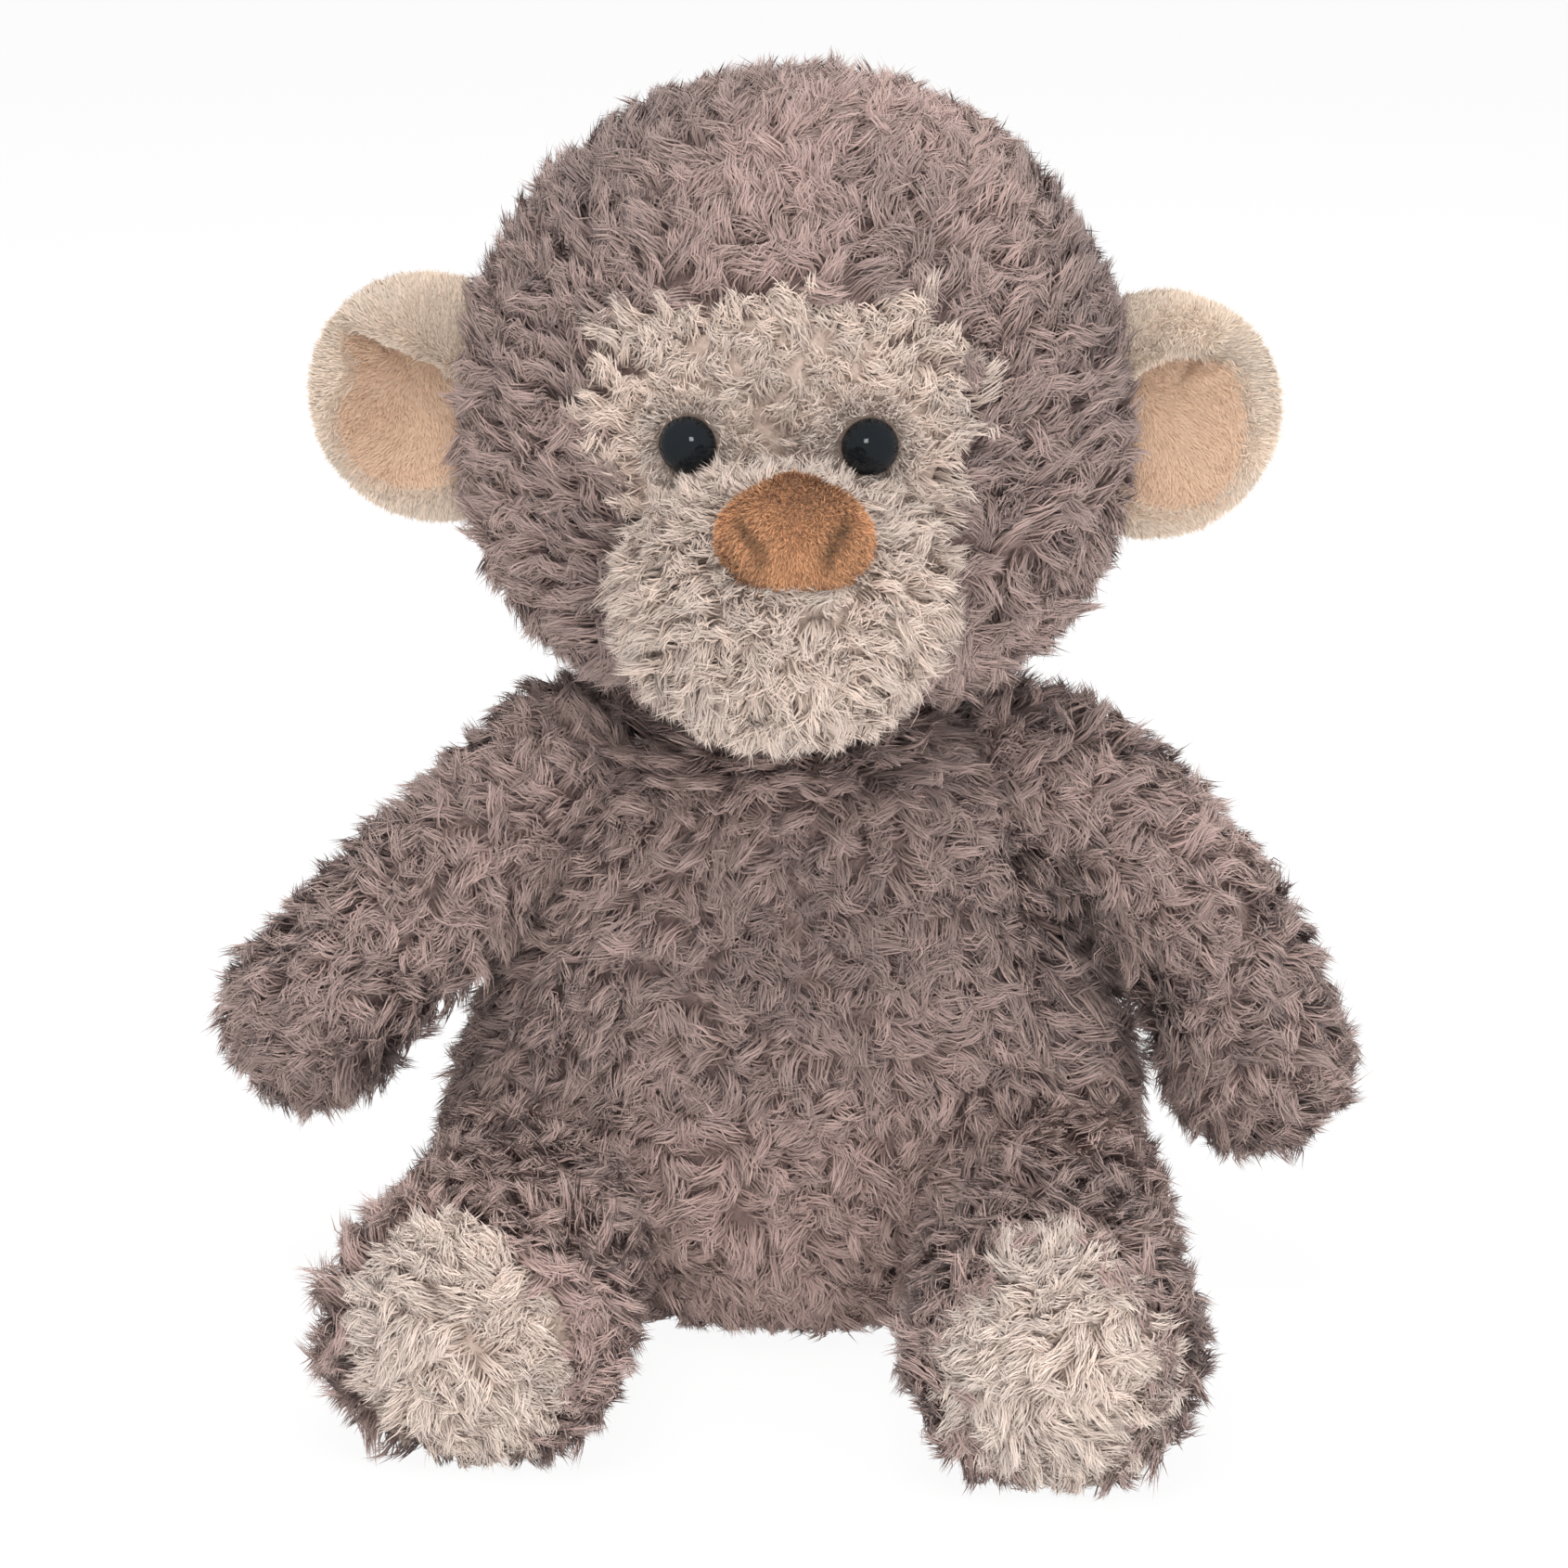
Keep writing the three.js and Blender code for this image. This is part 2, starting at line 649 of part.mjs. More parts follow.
// Head: cover, face panel and muzzle over one stuffing, with nose and eyes
function makeHead() {
  const sides = Object.keys(SIDES);
  const seat = headSeat();
  const neckRoom = ballAt(neckCentre, NECK_RADIUS + JOINT_GAP, ROUND);
  const earRooms = sides.map((side) => earSweptRoom(side));
  const eyeRooms = sides.map((side) => eyeRoom(side, SEAM_GAP));
  const washersBehind = sides.map((side) => washerRoom(side, SEAM_GAP));
  const washersThrough = sides.map((side) => washerRoom(side, PLUSH));
  const inside = headForm(-PLUSH, ROUND_INSIDE, BODY_STEPS_INSIDE);
  const shell = cutBy(headForm(0, ROUND, BODY_STEPS), [inside, seat, neckRoom, muzzleForm(SEAM_GAP, ROUND)]);
  const cover = cutBy(shell, [facePrism(SEAM_GAP / 2), ...earRooms]);
  const panel = cutBy(shell.intersect(facePrism(-SEAM_GAP / 2)), [...eyeRooms, ...washersBehind]);
  const muzzle = cutBy(muzzleForm(0, ROUND), [muzzleForm(-PLUSH, SMALL_ROUND), inside, seat, ...eyeRooms]);
  addPiece(headGroup, "head_cover", cover, materials.brownPlush);
  addPiece(headGroup, "face_panel", panel, materials.palePlush);
  addPiece(headGroup, "muzzle_cover", muzzle, materials.palePlush);
  const skull = headForm(-PLUSH - SEAM_GAP, ROUND_INSIDE, BODY_STEPS_INSIDE);
  const snout = muzzleForm(-PLUSH - SEAM_GAP, SMALL_ROUND);
  const filling = cutBy(skull.add(snout), [seat, neckRoom, ...eyeRooms, ...washersThrough]);
  addPiece(headGroup, "head_stuffing", filling, materials.stuffing);
  const onMuzzle = muzzleForm(SEAM_GAP, ROUND);
  const noseShell = cutBy(noseForm(0), [noseForm(-NOSE_CLOTH), onMuzzle]);
  const noseFilling = noseForm(-NOSE_CLOTH - SEAM_GAP).subtract(onMuzzle);
  addPiece(headGroup, "nose_cover", noseShell, materials.noseCloth);
  addPiece(headGroup, "nose_stuffing", noseFilling, materials.stuffing);
  for (const side of sides) {
    addPiece(headGroup, `${side}_eye`, revolved(eyeOutline(), eyePlace(side)), materials.eye);
    addPiece(headGroup, `${side}_eye_washer`, washerRing(side), materials.washer);
  }
}

// Ears

function earJoint(side) {
  const out = HEAD_HALF_WIDTH - EAR_SEAM.sink;
  return new THREE.Vector3(SIDES[side] * out, EAR_SEAM.back, neckCentre.z + EAR_RISE[side]);
}

// From the ear's own frame, X outwards and Y backwards from the seam, to its place on the head
function placedEar(geometry, side, fold) {
  geometry.rotateZ(THREE.MathUtils.degToRad(EAR_SWEEP - fold));
  if (SIDES[side] < 0) geometry.rotateY(Math.PI);
  const joint = earJoint(side);
  geometry.translate(joint.x, joint.y, joint.z);
  return solid(geometry);
}

// A cup that opens forwards, revolved from its back pole out to the rim and back inside
function earCup(outer, inner, side, fold) {
  const steps = 4;
  const outline = [];
  for (let step = 0; step <= steps; step += 1) {
    const angle = (step / steps) * (Math.PI / 2);
    outline.push(new THREE.Vector2(outer.radius * Math.sin(angle), outer.cup * Math.cos(angle)));
  }
  const lip = (outer.radius - inner.radius) / 2;
  if (lip > 0) outline.push(new THREE.Vector2(outer.radius - lip, -lip));
  for (let step = lip > 0 ? steps : steps - 1; step >= 0; step -= 1) {
    const angle = (step / steps) * (Math.PI / 2);
    outline.push(new THREE.Vector2(inner.radius * Math.sin(angle), inner.cup * Math.cos(angle)));
  }
  const lathe = new THREE.LatheGeometry(outline.reverse(), ROUND);
  lathe.translate(EAR_OUT, -EAR_AHEAD, 0);
  return placedEar(lathe, side, fold);
}

function earBlock(fromX, side, fold) {
  const box = new THREE.BoxGeometry(EAR.radius * 3, EAR.radius * 3, EAR.radius * 3);
  box.translate(fromX + EAR.radius * 1.5, 0, 0);
  return placedEar(box, side, fold);
}

// The rolled seam at the ear's root
function earBead(distance, side, fold) {
  const bead = new THREE.CapsuleGeometry(EAR_SEAM.radius + distance, EAR_SEAM.halfHeight * 2, 3, ROOM_ROUND);
  bead.rotateX(Math.PI / 2);
  return placedEar(bead, side, fold);
}

function earBack(distance, side, fold) {
  const outer = { radius: EAR.radius + distance, cup: EAR.cup + distance };
  const inner = { radius: EAR.radius - EAR.lip - distance, cup: EAR.cup - MINKY - distance };
  const cup = earCup(outer, inner, side, fold).intersect(earBlock(-distance, side, fold));
  return cup.add(earBead(distance, side, fold));
}

function earFront(side) {
  const radius = EAR.radius - EAR.lip - SEAM_GAP;
  const outer = { radius, cup: EAR.cup - MINKY - SEAM_GAP };
  const inner = { radius, cup: outer.cup - MINKY };
  return earCup(outer, inner, side, 0).intersect(earBlock(EAR_SEAM.radius, side, 0));
}

// Room that the ear's root sweeps in the head's side
function earSweptRoom(side) {
  const joint = earJoint(side);
  const reach = EAR_SEAM.radius + EAR_SEAM.sink + EAR_ROOT_REACH;
  const swept = [];
  [-EAR_FOLD, 0, EAR_FOLD].forEach((fold) => {
    const corners = earBack(JOINT_GAP, side, fold).getMesh().vertProperties;
    for (let at = 0; at < corners.length; at += 3) {
      const point = new THREE.Vector3(corners[at], corners[at + 1], corners[at + 2]);
      if (Math.hypot(point.x - joint.x, point.y - joint.y) < reach) swept.push(point);
    }
  });
  return solid(new ConvexGeometry(swept));
}

function makeEar(side) {
  const group = movingPart(headGroup, earJoint(side));
  addPiece(group, `${side}_ear_back`, earBack(0, side, 0), materials.creamMinky);
  addPiece(group, `${side}_ear_front`, earFront(side), materials.peachMinky);
}

// Arms: a closed cover with its stuffing hole at the root

function makeArm(side) {
  const limb = arms[side];
  const group = movingPart(torsoGroup, limb.joint);
  const outside = limbOutside(limb);
  const inside = limbInside(limb, -PLUSH);
  const hole = alongLimb(limb, -limb.root * 2, -PLUSH, STUFFING_HOLE, STUFFING_HOLE);
  addPiece(group, `${side}_arm_cover`, cutBy(outside, [inside, hole]), materials.brownPlush);
  const filling = limbInside(limb, -PLUSH - SEAM_GAP);
  addPiece(group, `${side}_arm_stuffing`, filling, materials.stuffing);
}

// Round bar along the straight line of a limb's start, between two distances from its joint
function alongLimb(limb, from, to, width, depth) {
  const ahead = limb.path.getTangentAt(0);
  const across = new THREE.Vector3().crossVectors(limb.upright, ahead).normalize();
  const upwards = new THREE.Vector3().crossVectors(ahead, across).normalize();
  const ends = [from, to].map((along) => limb.joint.clone().addScaledVector(ahead, along));
  const rings = ends.map((centre) => ellipseRing(centre, across, upwards, width, depth, LIMB_ROUND));
  return solid(bodyThroughRings([[ends[0]], ...rings, [ends[1]]]));
}

// Legs: a cover that is open at the sole, the pale sole in the opening, and the stuffing

function makeLeg(side) {
  const limb = legs[side];
  const group = movingPart(torsoGroup, limb.joint);
  const toe = limb.path.getLength() + limb.tip;
  const from = toe - PLUSH - SOLE_OVERLAP;
  const outside = limbOutside(limb).subtract(belowFloor);
  const shell = outside.subtract(limbInside(limb, -PLUSH));
  const opening = alongLimb(limb, from, toe * 2, SOLE.halfWidth + SEAM_GAP, SOLE.halfHeight + SEAM_GAP);
  const sole = alongLimb(limb, from, toe * 2, SOLE.halfWidth, SOLE.halfHeight);
  addPiece(group, `${side}_leg_cover`, shell.subtract(opening), materials.brownPlush);
  addPiece(group, `${side}_sole`, shell.intersect(sole), materials.palePlush);
  const filling = limbInside(limb, -PLUSH - SEAM_GAP);
  addPiece(group, `${side}_leg_stuffing`, filling, materials.stuffing);
}

makeTorso();
addPiece(neckGroup, "neck_stuffing", ballAt(neckCentre, NECK_RADIUS, ROUND_INSIDE), materials.stuffing);
makeHead();
for (const side of Object.keys(SIDES)) {
  makeEar(side);
  makeArm(side);
  makeLeg(side);
}

export default monkey;
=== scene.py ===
# The looks of the seated plush monkey: curly pile, velvety ears and nose, and glossy eyes.
# Lengths are written in millimetres and become metres when a mesh is made.

import math

import bpy
import numpy as np
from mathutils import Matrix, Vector


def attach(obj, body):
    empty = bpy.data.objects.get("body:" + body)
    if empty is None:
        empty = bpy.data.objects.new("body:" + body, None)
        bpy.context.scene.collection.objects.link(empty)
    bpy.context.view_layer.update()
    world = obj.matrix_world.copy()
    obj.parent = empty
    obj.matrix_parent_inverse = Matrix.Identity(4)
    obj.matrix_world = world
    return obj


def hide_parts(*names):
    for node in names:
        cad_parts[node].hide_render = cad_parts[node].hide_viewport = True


MM = 0.001
TURN = 2 * math.pi
UP, DOWN = np.array([0, 0, 1.0]), np.array([0, 0, -1.0])
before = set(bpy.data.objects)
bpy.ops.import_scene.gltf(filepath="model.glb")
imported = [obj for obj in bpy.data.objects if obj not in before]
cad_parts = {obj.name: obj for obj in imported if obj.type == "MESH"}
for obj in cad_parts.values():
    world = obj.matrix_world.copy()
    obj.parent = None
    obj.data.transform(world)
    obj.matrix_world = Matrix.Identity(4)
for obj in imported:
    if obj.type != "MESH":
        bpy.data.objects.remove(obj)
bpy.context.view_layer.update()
scene = bpy.context.scene

# Sizes shared with the solids
SIDES = {"left": 1, "right": -1}
TORSO_STATIONS = [(-0.5, 0, 0), (1, 52, 37), (35, 79, 57), (68, 71, 52), (101, 58, 45), (128, 46, 38),
                  (147, 0, 0)]  # height, half width, half depth
SIDE_SEAM_BACK = 8
NECK = np.array([0, 0, 150.0])
NECK_RADIUS = 22
HEAD_HALF_WIDTH, HEAD_HALF_DEPTH = 73, 60
HEAD_ABOVE, HEAD_BELOW, HEAD_LEVEL = 75, 60, 202
CHEEK_FULLNESS, CROWN_FULLNESS = 2.6, 2.05
FACE_MIDDLE, EYES_MIDDLE, NOSE_MIDDLE = -2.8, -3.6, -0.4
MUZZLE_CENTRE = np.array([FACE_MIDDLE, -60, 178.0])
MUZZLE_SIZE = np.array([35, 38, 30.0])
EYE = {"rise": 209, "apart": 18.6, "sink": 3.4, "radius": 6, "dome": 5.2, "shank": 1.6, "length": 9}
EYE_TURN = math.radians(12)  # each eye faces outwards a little
EAR_RADIUS, EAR_CUP, EAR_OUT, EAR_AHEAD = 27, 9, 8, 4.5
EAR_SWEEP = math.radians(8)
EAR_JOINT = {"left": (70.8, 6, 202), "right": (-70.8, 6, 206)}
ARM = {"root": 22, "middle": 20, "end": 21, "tip": 21, "flatten": 1, "squareness": 2}
SHOULDER = (49, -1, 120)
ARM_BEND = {"left": ((38, -10, -10), (54, -20, -59)), "right": ((31, -9, -21), (57, -20, -48))}
LEG = {"root": 27.5, "middle": 28, "end": 31, "tip": 14, "flatten": 0.94, "squareness": 2.8}
HIP_OUT, HIP_HEIGHT, HIP_FORWARD = 55, 28, {"left": 27, "right": 16}
LEG_LENGTH, LEG_SPLAY = 80, {"left": -1, "right": 8}
FOOT_PRESS = 0.5  # how far the floor presses the round foot flat

ROOT_DEPTH = 5.5  # where the locks grow, below the mean height of the pile
CLOTH_DEPTH = 4.6  # what shows between the locks
PANEL_FACE, PANEL_BACK = CLOTH_DEPTH - 0.8, CLOTH_DEPTH + 1.6  # depths of a pale panel's two sides
FLOOR_CLEARANCE = 0.8
LOWEST_ROOT, LOWEST_STRAND = 1.5, 0.1

# Forms: closed surfaces, each a point for every share from pole to pole (0 to 1) and angle

POLES = (0.003, 0.997)  # the shares between which a surface has a steady normal
PROFILE_POINTS, CURVE_POINTS = 400, 200


def norm(v):
    return np.linalg.norm(v, axis=-1)


def unit(v):
    return v / np.maximum(norm(v), 1e-9)[..., None]


def across(points, ways):
    """The points or directions, less their part along the given unit directions."""
    return points - ways * (points * ways).sum(-1, keepdims=True)


def smooth_step(x):
    x = np.clip(x, 0, 1)
    return x * x * (3 - 2 * x)


def ramp(x, start, end):
    """Goes smoothly from 0 where x is start to 1 where it is end."""
    return smooth_step((x - start) / (end - start))


def leaning(angle, way, towards):
    """Directions at an angle from one way towards another."""
    return np.cos(angle)[..., None] * way + np.sin(angle)[..., None] * towards


def look_up(rows, x):
    """The rows' second values, read between their first ones."""
    return np.interp(x, *np.array(rows).T)


def at_share(rows, share):
    """The rows' columns, each read at shares of the way through them."""
    at = np.clip(share, 0, 1) * (len(rows) - 1)
    return [np.interp(at, np.arange(len(rows)), column) for column in rows.T]


def pole_to_pole(count):
    return np.linspace(-math.pi / 2, math.pi / 2, count)


def spaced(points, count):
    """The points of a polyline, again at equal distances."""
    lengths = np.concatenate([[0], np.cumsum(norm(np.diff(points, axis=0)))])
    at = np.linspace(0, lengths[-1], count)
    return np.stack([np.interp(at, lengths, points[:, k]) for k in range(points.shape[1])], 1)


def catmull_rom(points, steps=24):
    """The smooth curve through the points that the solids use too."""
    points = np.array(points, float)
    row = np.vstack([2 * points[0] - points[1], points, 2 * points[-1] - points[-2]])
    result = []
    for i in range(len(points) - 1):
        p0, p1, p2, p3 = row[i : i + 4]
        g0, g1, g2 = (max(np.linalg.norm(b - a), 1e-6) ** 0.5 for a, b in ((p0, p1), (p1, p2), (p2, p3)))
        t1 = ((p1 - p0) / g0 - (p2 - p0) / (g0 + g1) + (p2 - p1) / g1) * g1
        t2 = ((p2 - p1) / g1 - (p3 - p1) / (g1 + g2) + (p3 - p2) / g2) * g1
        for t in np.arange(steps) / steps:
            h = (2 * t**3 - 3 * t**2 + 1, t**3 - 2 * t**2 + t, -2 * t**3 + 3 * t**2, t**3 - t**2)
            result.append(h[0] * p1 + h[1] * t1 + h[2] * p2 + h[3] * t2)
    result.append(points[-1])
    return np.array(result)


class Surface:
    """A closed surface given by a function of share and angle."""

    def __init__(self, points):
        self.points = points
        self.facing = 1
        shares, angles = np.linspace(0.02, 0.98, 25), np.arange(16) / 16 * TURN
        p, n = self.with_normals(*(grid.ravel() for grid in np.meshgrid(shares, angles)))
        if ((p - p.mean(0)) * n).sum() < 0:
            self.facing = -1

    def slopes(self, share, angle, step=0.002, turn=0.01):
        """How the points move along the surface and around it."""
        along = self.points(share + step, angle) - self.points(share - step, angle)
        around = self.points(share, angle + turn) - self.points(share, angle - turn)
        return along, around

    def with_normals(self, share, angle):
        share = np.clip(share, *POLES)
        along, around = self.slopes(share, angle)
        return self.points(share, angle), unit(np.cross(around, along)) * self.facing

    def scatter(self, count, rng, least=0.0, most=1.0):
        """Random places, evenly over the surface between two shares."""
        tries = count * 4
        share = rng.uniform(least, most, tries)
        angle = rng.uniform(0, TURN, tries)
        along, around = self.slopes(share, angle, step=0.003)
        area = norm(np.cross(around, along))
        chosen = rng.uniform(0, np.percentile(area, 99), tries) < area
        share, angle = share[chosen][:count], angle[chosen][:count]
        return (*self.with_normals(share, angle), share)


class Body(Surface):
    """A round body: profile rows are (along, half width, half depth)."""

    def __init__(self, profile, place):
        self.profile = spaced(np.array(profile, float), PROFILE_POINTS)
        self.place = place
        super().__init__(self.ring_points)

    def ring_points(self, share, angle):
        along, width, depth = at_share(self.profile, share)
        centre, sideways, upwards = self.place(along)
        point = centre + sideways * (np.cos(angle) * width)[:, None]
        return point + upwards * (np.sin(angle) * depth)[:, None]

    def length(self):
        return norm(np.diff(self.profile, axis=0)).sum()

    def girth(self, share):
        """The length round the body, by a rule for an ellipse."""
        _, a, b = self.profile[int(share * (PROFILE_POINTS - 1))]
        return math.pi * (3 * (a + b) - math.sqrt((3 * a + b) * (a + 3 * b)))

    def contains(self, points, inset):
        """True for points deeper than inset inside the body, judged from its middle line."""
        middle = self.profile[::8]
        centre, _, _ = self.place(middle[:, 0])
        reach = middle[:, 1:].min(1) - inset
        gap = norm(points[:, None] - centre[None]) - reach[None]
        return gap.min(1) < 0


class Upright(Body):
    """A body whose rings lie level."""

    def __init__(self, profile, x=0.0, y=0.0):
        self.middle = (x, y)
        super().__init__(profile, self.level)

    def level(self, along):
        centre = np.array([*self.middle, 0]) + along[:, None] * UP
        return centre, np.array([1.0, 0, 0]), np.array([0, 1.0, 0])

    def half_sizes(self, height, inset):
        """Half width and half depth at a height, less the inset."""
        return (np.interp(height, self.profile[:, 0], self.profile[:, k]) - inset for k in (1, 2))

    def contains(self, points, inset):
        along, height = self.profile[:, 0], points[:, 2]
        width, depth = self.half_sizes(height, inset)
        good = (width > 0.5) & (depth > 0.5) & (height > along[0] + inset) & (height < along[-1] - inset)
        x = (points[:, 0] - self.middle[0]) / np.where(good, width, 1)
        y = (points[:, 1] - self.middle[1]) / np.where(good, depth, 1)
        return good & (x**2 + y**2 < 1)

    def front(self, x, z, inset):
        """How far back the front surface lies at a place in the view from the front."""
        width, depth = self.half_sizes(z, inset)
        return -depth * np.sqrt(np.maximum(1 - ((x - self.middle[0]) / width) ** 2, 0)) + self.middle[1]


def torso_form():
    rows = catmull_rom(TORSO_STATIONS)
    rows[:, 1:] = np.maximum(rows[:, 1:], 0)
    return Upright(rows)


def head_form():
    rows = []
    for angle in pole_to_pole(121):
        reach, fullness = (HEAD_BELOW, CHEEK_FULLNESS) if angle < 0 else (HEAD_ABOVE, CROWN_FULLNESS)
        share = max(math.cos(angle), 0) ** (2 / fullness)
        rise = math.copysign(reach * abs(math.sin(angle)) ** (2 / fullness), angle)
        rows.append((HEAD_LEVEL + rise, HEAD_HALF_WIDTH * share, HEAD_HALF_DEPTH * share))
    return Upright(rows)


def ball_form(centre, size):
    rows = [(centre[2] + size[2] * math.sin(a), size[0] * math.cos(a), size[1] * math.cos(a))
            for a in pole_to_pole(81)]
    return Upright(rows, centre[0], centre[1])


def limb_profile(limb, length):
    """A round root, a smooth run to the end's width, and a tip that closes it."""
    root, end = limb["root"], limb["end"]
    depth = end * limb["flatten"]
    rows = [(root * math.sin(a), root * math.cos(a), root * math.cos(a))
            for a in np.linspace(-math.pi / 2, -0.05, 24)]
    stations = [(0, root, root), (length / 2, limb["middle"], limb["middle"]), (length, end, depth)]
    rows += [tuple(row) for row in catmull_rom(stations)]
    power = 2 / limb["squareness"]
    for angle in np.linspace(0.04, math.pi / 2, 40):
        share = max(math.cos(angle), 0) ** power
        along = length + limb["tip"] * math.sin(angle) ** power
        rows.append((along, end * share, depth * share))
    return rows


def along_curve(curve, up):
    """The length of a polyline, and a place along it that runs on straight past both ends."""
    curve = spaced(np.array(curve, float), CURVE_POINTS)
    length = norm(np.diff(curve, axis=0)).sum()
    tangents = unit(np.gradient(curve, axis=0))

    def place(along):
        centre, ahead = (np.stack(at_share(rows, along / length), 1) for rows in (curve, tangents))
        centre += ahead * (along - np.clip(along, 0, length))[:, None]
        sideways = unit(np.cross(up, ahead))
        return centre, sideways, np.cross(ahead, sideways)

    return length, place


def shoulder(side):
    return np.array([SIDES[side] * SHOULDER[0], *SHOULDER[1:]], float)


def arm_form(side):
    joint = shoulder(side)
    elbow, paw = (joint + [SIDES[side] * x, y, z] for x, y, z in ARM_BEND[side])
    t = np.linspace(0, 1, 60)[:, None]
    curve = (1 - t) ** 2 * joint + 2 * t * (1 - t) * elbow + t**2 * paw
    length, place = along_curve(curve, np.array([0, 1.0, 0]))
    return Body(limb_profile(ARM, length), place)


def leg_line(side):
    joint = np.array([SIDES[side] * HIP_OUT, -HIP_FORWARD[side], HIP_HEIGHT], float)
    splay = math.radians(LEG_SPLAY[side])
    ankle = joint + LEG_LENGTH * np.array([SIDES[side] * math.sin(splay), -math.cos(splay), 0])
    ankle[2] = LEG["end"] * LEG["flatten"] - FOOT_PRESS
    return joint, ankle


def leg_form(side):
    length, place = along_curve(np.linspace(*leg_line(side), 20), UP)
    return Body(limb_profile(LEG, length), place)


FORMS = {
    "torso": torso_form(),
    "neck": ball_form(NECK, (NECK_RADIUS, NECK_RADIUS, NECK_RADIUS)),
    "head": head_form(),
    "muzzle": ball_form(MUZZLE_CENTRE, MUZZLE_SIZE),
}
for side in SIDES:
    FORMS[f"{side}_arm"] = arm_form(side)
    FORMS[f"{side}_leg"] = leg_form(side)


# Panels: thin closed pieces that lie on a form

FACE_OUTLINE = [(160, 25), (175, 29), (190, 30), (200, 31), (208, 36), (219, 39), (227, 37), (232, 31),
                (235, 22), (238, 1)]  # height, half width
SOLE_RADIUS = {"across": 21, "up": 24}
SOLE_SHIFT = {"left": 0, "right": -2}  # the right sole sits a little towards the outside
SOLE_REACH = 33  # from the tip of the foot back to the edge of the sole's cloth


def panel_reach(share):
    """From a panel's middle out over its front, and back behind it."""
    return 1 - np.abs(2 * share - 1)


def panel_depth(share):
    return np.where(share < 0.5, PANEL_FACE, PANEL_BACK)


def face_share(x, z):
    """Below 1 inside the pale face's outline and above 1 outside it."""
    return np.abs(x - FACE_MIDDLE) / look_up(FACE_OUTLINE, z) + (z > FACE_OUTLINE[-1][0])


def face_panel_form():
    """The pale cloth between brow and muzzle: out over its front and back behind it."""
    lowest, highest = FACE_OUTLINE[0][0], FACE_OUTLINE[-1][0]
    middle, half = (lowest + highest) / 2, (highest - lowest) / 2

    def points(share, angle):
        reach = panel_reach(share)
        z = middle + half * reach * np.sin(angle)
        edge = look_up(FACE_OUTLINE, middle + half * np.sin(angle))
        x = FACE_MIDDLE + reach * np.cos(angle) * np.where(np.abs(np.cos(angle)) > 0.02, edge, 1)
        return np.stack([x, FORMS["head"].front(x, z, panel_depth(share)), z], 1)

    return Surface(points)


def sole_panel_form(side):
    form = FORMS[f"{side}_leg"]
    first = 1 - SOLE_REACH / form.length()

    def points(share, angle):
        p, n = form.with_normals(1 - panel_reach(share) * (1 - first), angle)
        return p - n * panel_depth(share)[:, None]

    return Surface(points)


# Eyes: domes with a shank


def eye_centre(side):
    x = EYES_MIDDLE + SIDES[side] * EYE["apart"]
    y = float(FORMS["head"].front(np.array([x]), np.array([EYE["rise"]]), 0)[0])
    return np.array([x, y + EYE["sink"], EYE["rise"]])


def eye_form(side):
    radius, shank, length = EYE["radius"], EYE["shank"], EYE["length"]
    dome = [(radius * math.cos(a), 1 + (EYE["dome"] - 1) * math.sin(a))
            for a in np.linspace(0, math.pi / 2, 24)]
    stem = [(0, -length), (shank, -length), (shank, 0), (radius - 0.3, 0), (radius, 0.4)]
    outline = np.array(stem + dome)
    c, s = math.cos(EYE_TURN), math.sin(EYE_TURN) * SIDES[side]
    ahead, sideways = np.array([s, -c, 0]), np.array([c, s, 0])
    centre = eye_centre(side)

    def points(share, angle):
        out, along = (column[:, None] for column in at_share(outline, share))
        return centre + along * ahead + out * leaning(angle, sideways, UP)

    return Surface(points)


# Ears: a cream back that rolls over the rim and folds down at the top, round a hollow peach panel

EAR_HOLLOW_EDGE = {
    "left": [(-180, 14), (-108, 20.5), (-76, 23), (-52, 24), (-28, 23), (-5, 21), (13, 20), (24, 20.5),
             (38, 19), (49, 17.5), (65, 15.5), (95, 12.5), (125, 11), (150, 10), (180, 14)],
    "right": [(-180, 14), (-120, 18), (-90, 21), (-66, 23), (-47, 24), (-14, 23.5), (0, 21), (10, 18.5),
              (18, 18.5), (28, 21), (37, 23), (44, 20.9), (52, 15), (71, 10), (115, 7), (150, 8), (180, 14)],
}  # degrees from straight out, and how far from the cup's centre the hollow's edge lies
EAR_FOLD_FROM, EAR_FOLD_TO = {"left": 52, "right": 42}, 178  # degrees from straight out
EAR_HOLLOW, EAR_FOLD_HEIGHT, EAR_RIM_HEIGHT = 4.7, 3.6, 0.5
EAR_OVERLAP = 0.03  # how far the peach panel runs on below the hollow's edge, as a share of the cup
EAR_PANEL_THICKNESS = 0.9
EAR_CREASE = {"height": 0.7, "at": 2, "width": 1.8, "turn": 0.5}


def from_straight_out(angle):
    return (np.degrees(angle) + 180) % 360 - 180


def ear_edge(side, angle):
    return look_up(EAR_HOLLOW_EDGE[side], from_straight_out(angle)) / EAR_RADIUS


def ear_fold(side, angle):
    """1 where the top folds down over the hollow, 0 where the rim is plain."""
    degrees = from_straight_out(angle)
    return smooth_step((degrees - EAR_FOLD_FROM[side] + 5) / 10) * smooth_step((EAR_FOLD_TO - degrees) / 20)


def ear_hollow(side, reach, angle):
    """Depth of the hollow: it runs on under the fold, and ends at a plain rim."""
    edge = ear_edge(side, angle) + EAR_OVERLAP
    under_fold = np.sqrt(np.maximum(1 - (reach / 0.92) ** 2, 0)) * EAR_HOLLOW - 0.5
    plain = np.maximum(1 - (reach / edge) ** 2, 0) ** 0.9 * EAR_HOLLOW - 0.3
    fold = ear_fold(side, angle) * smooth_step(reach * 4)
    return under_fold * fold + plain * (1 - fold)


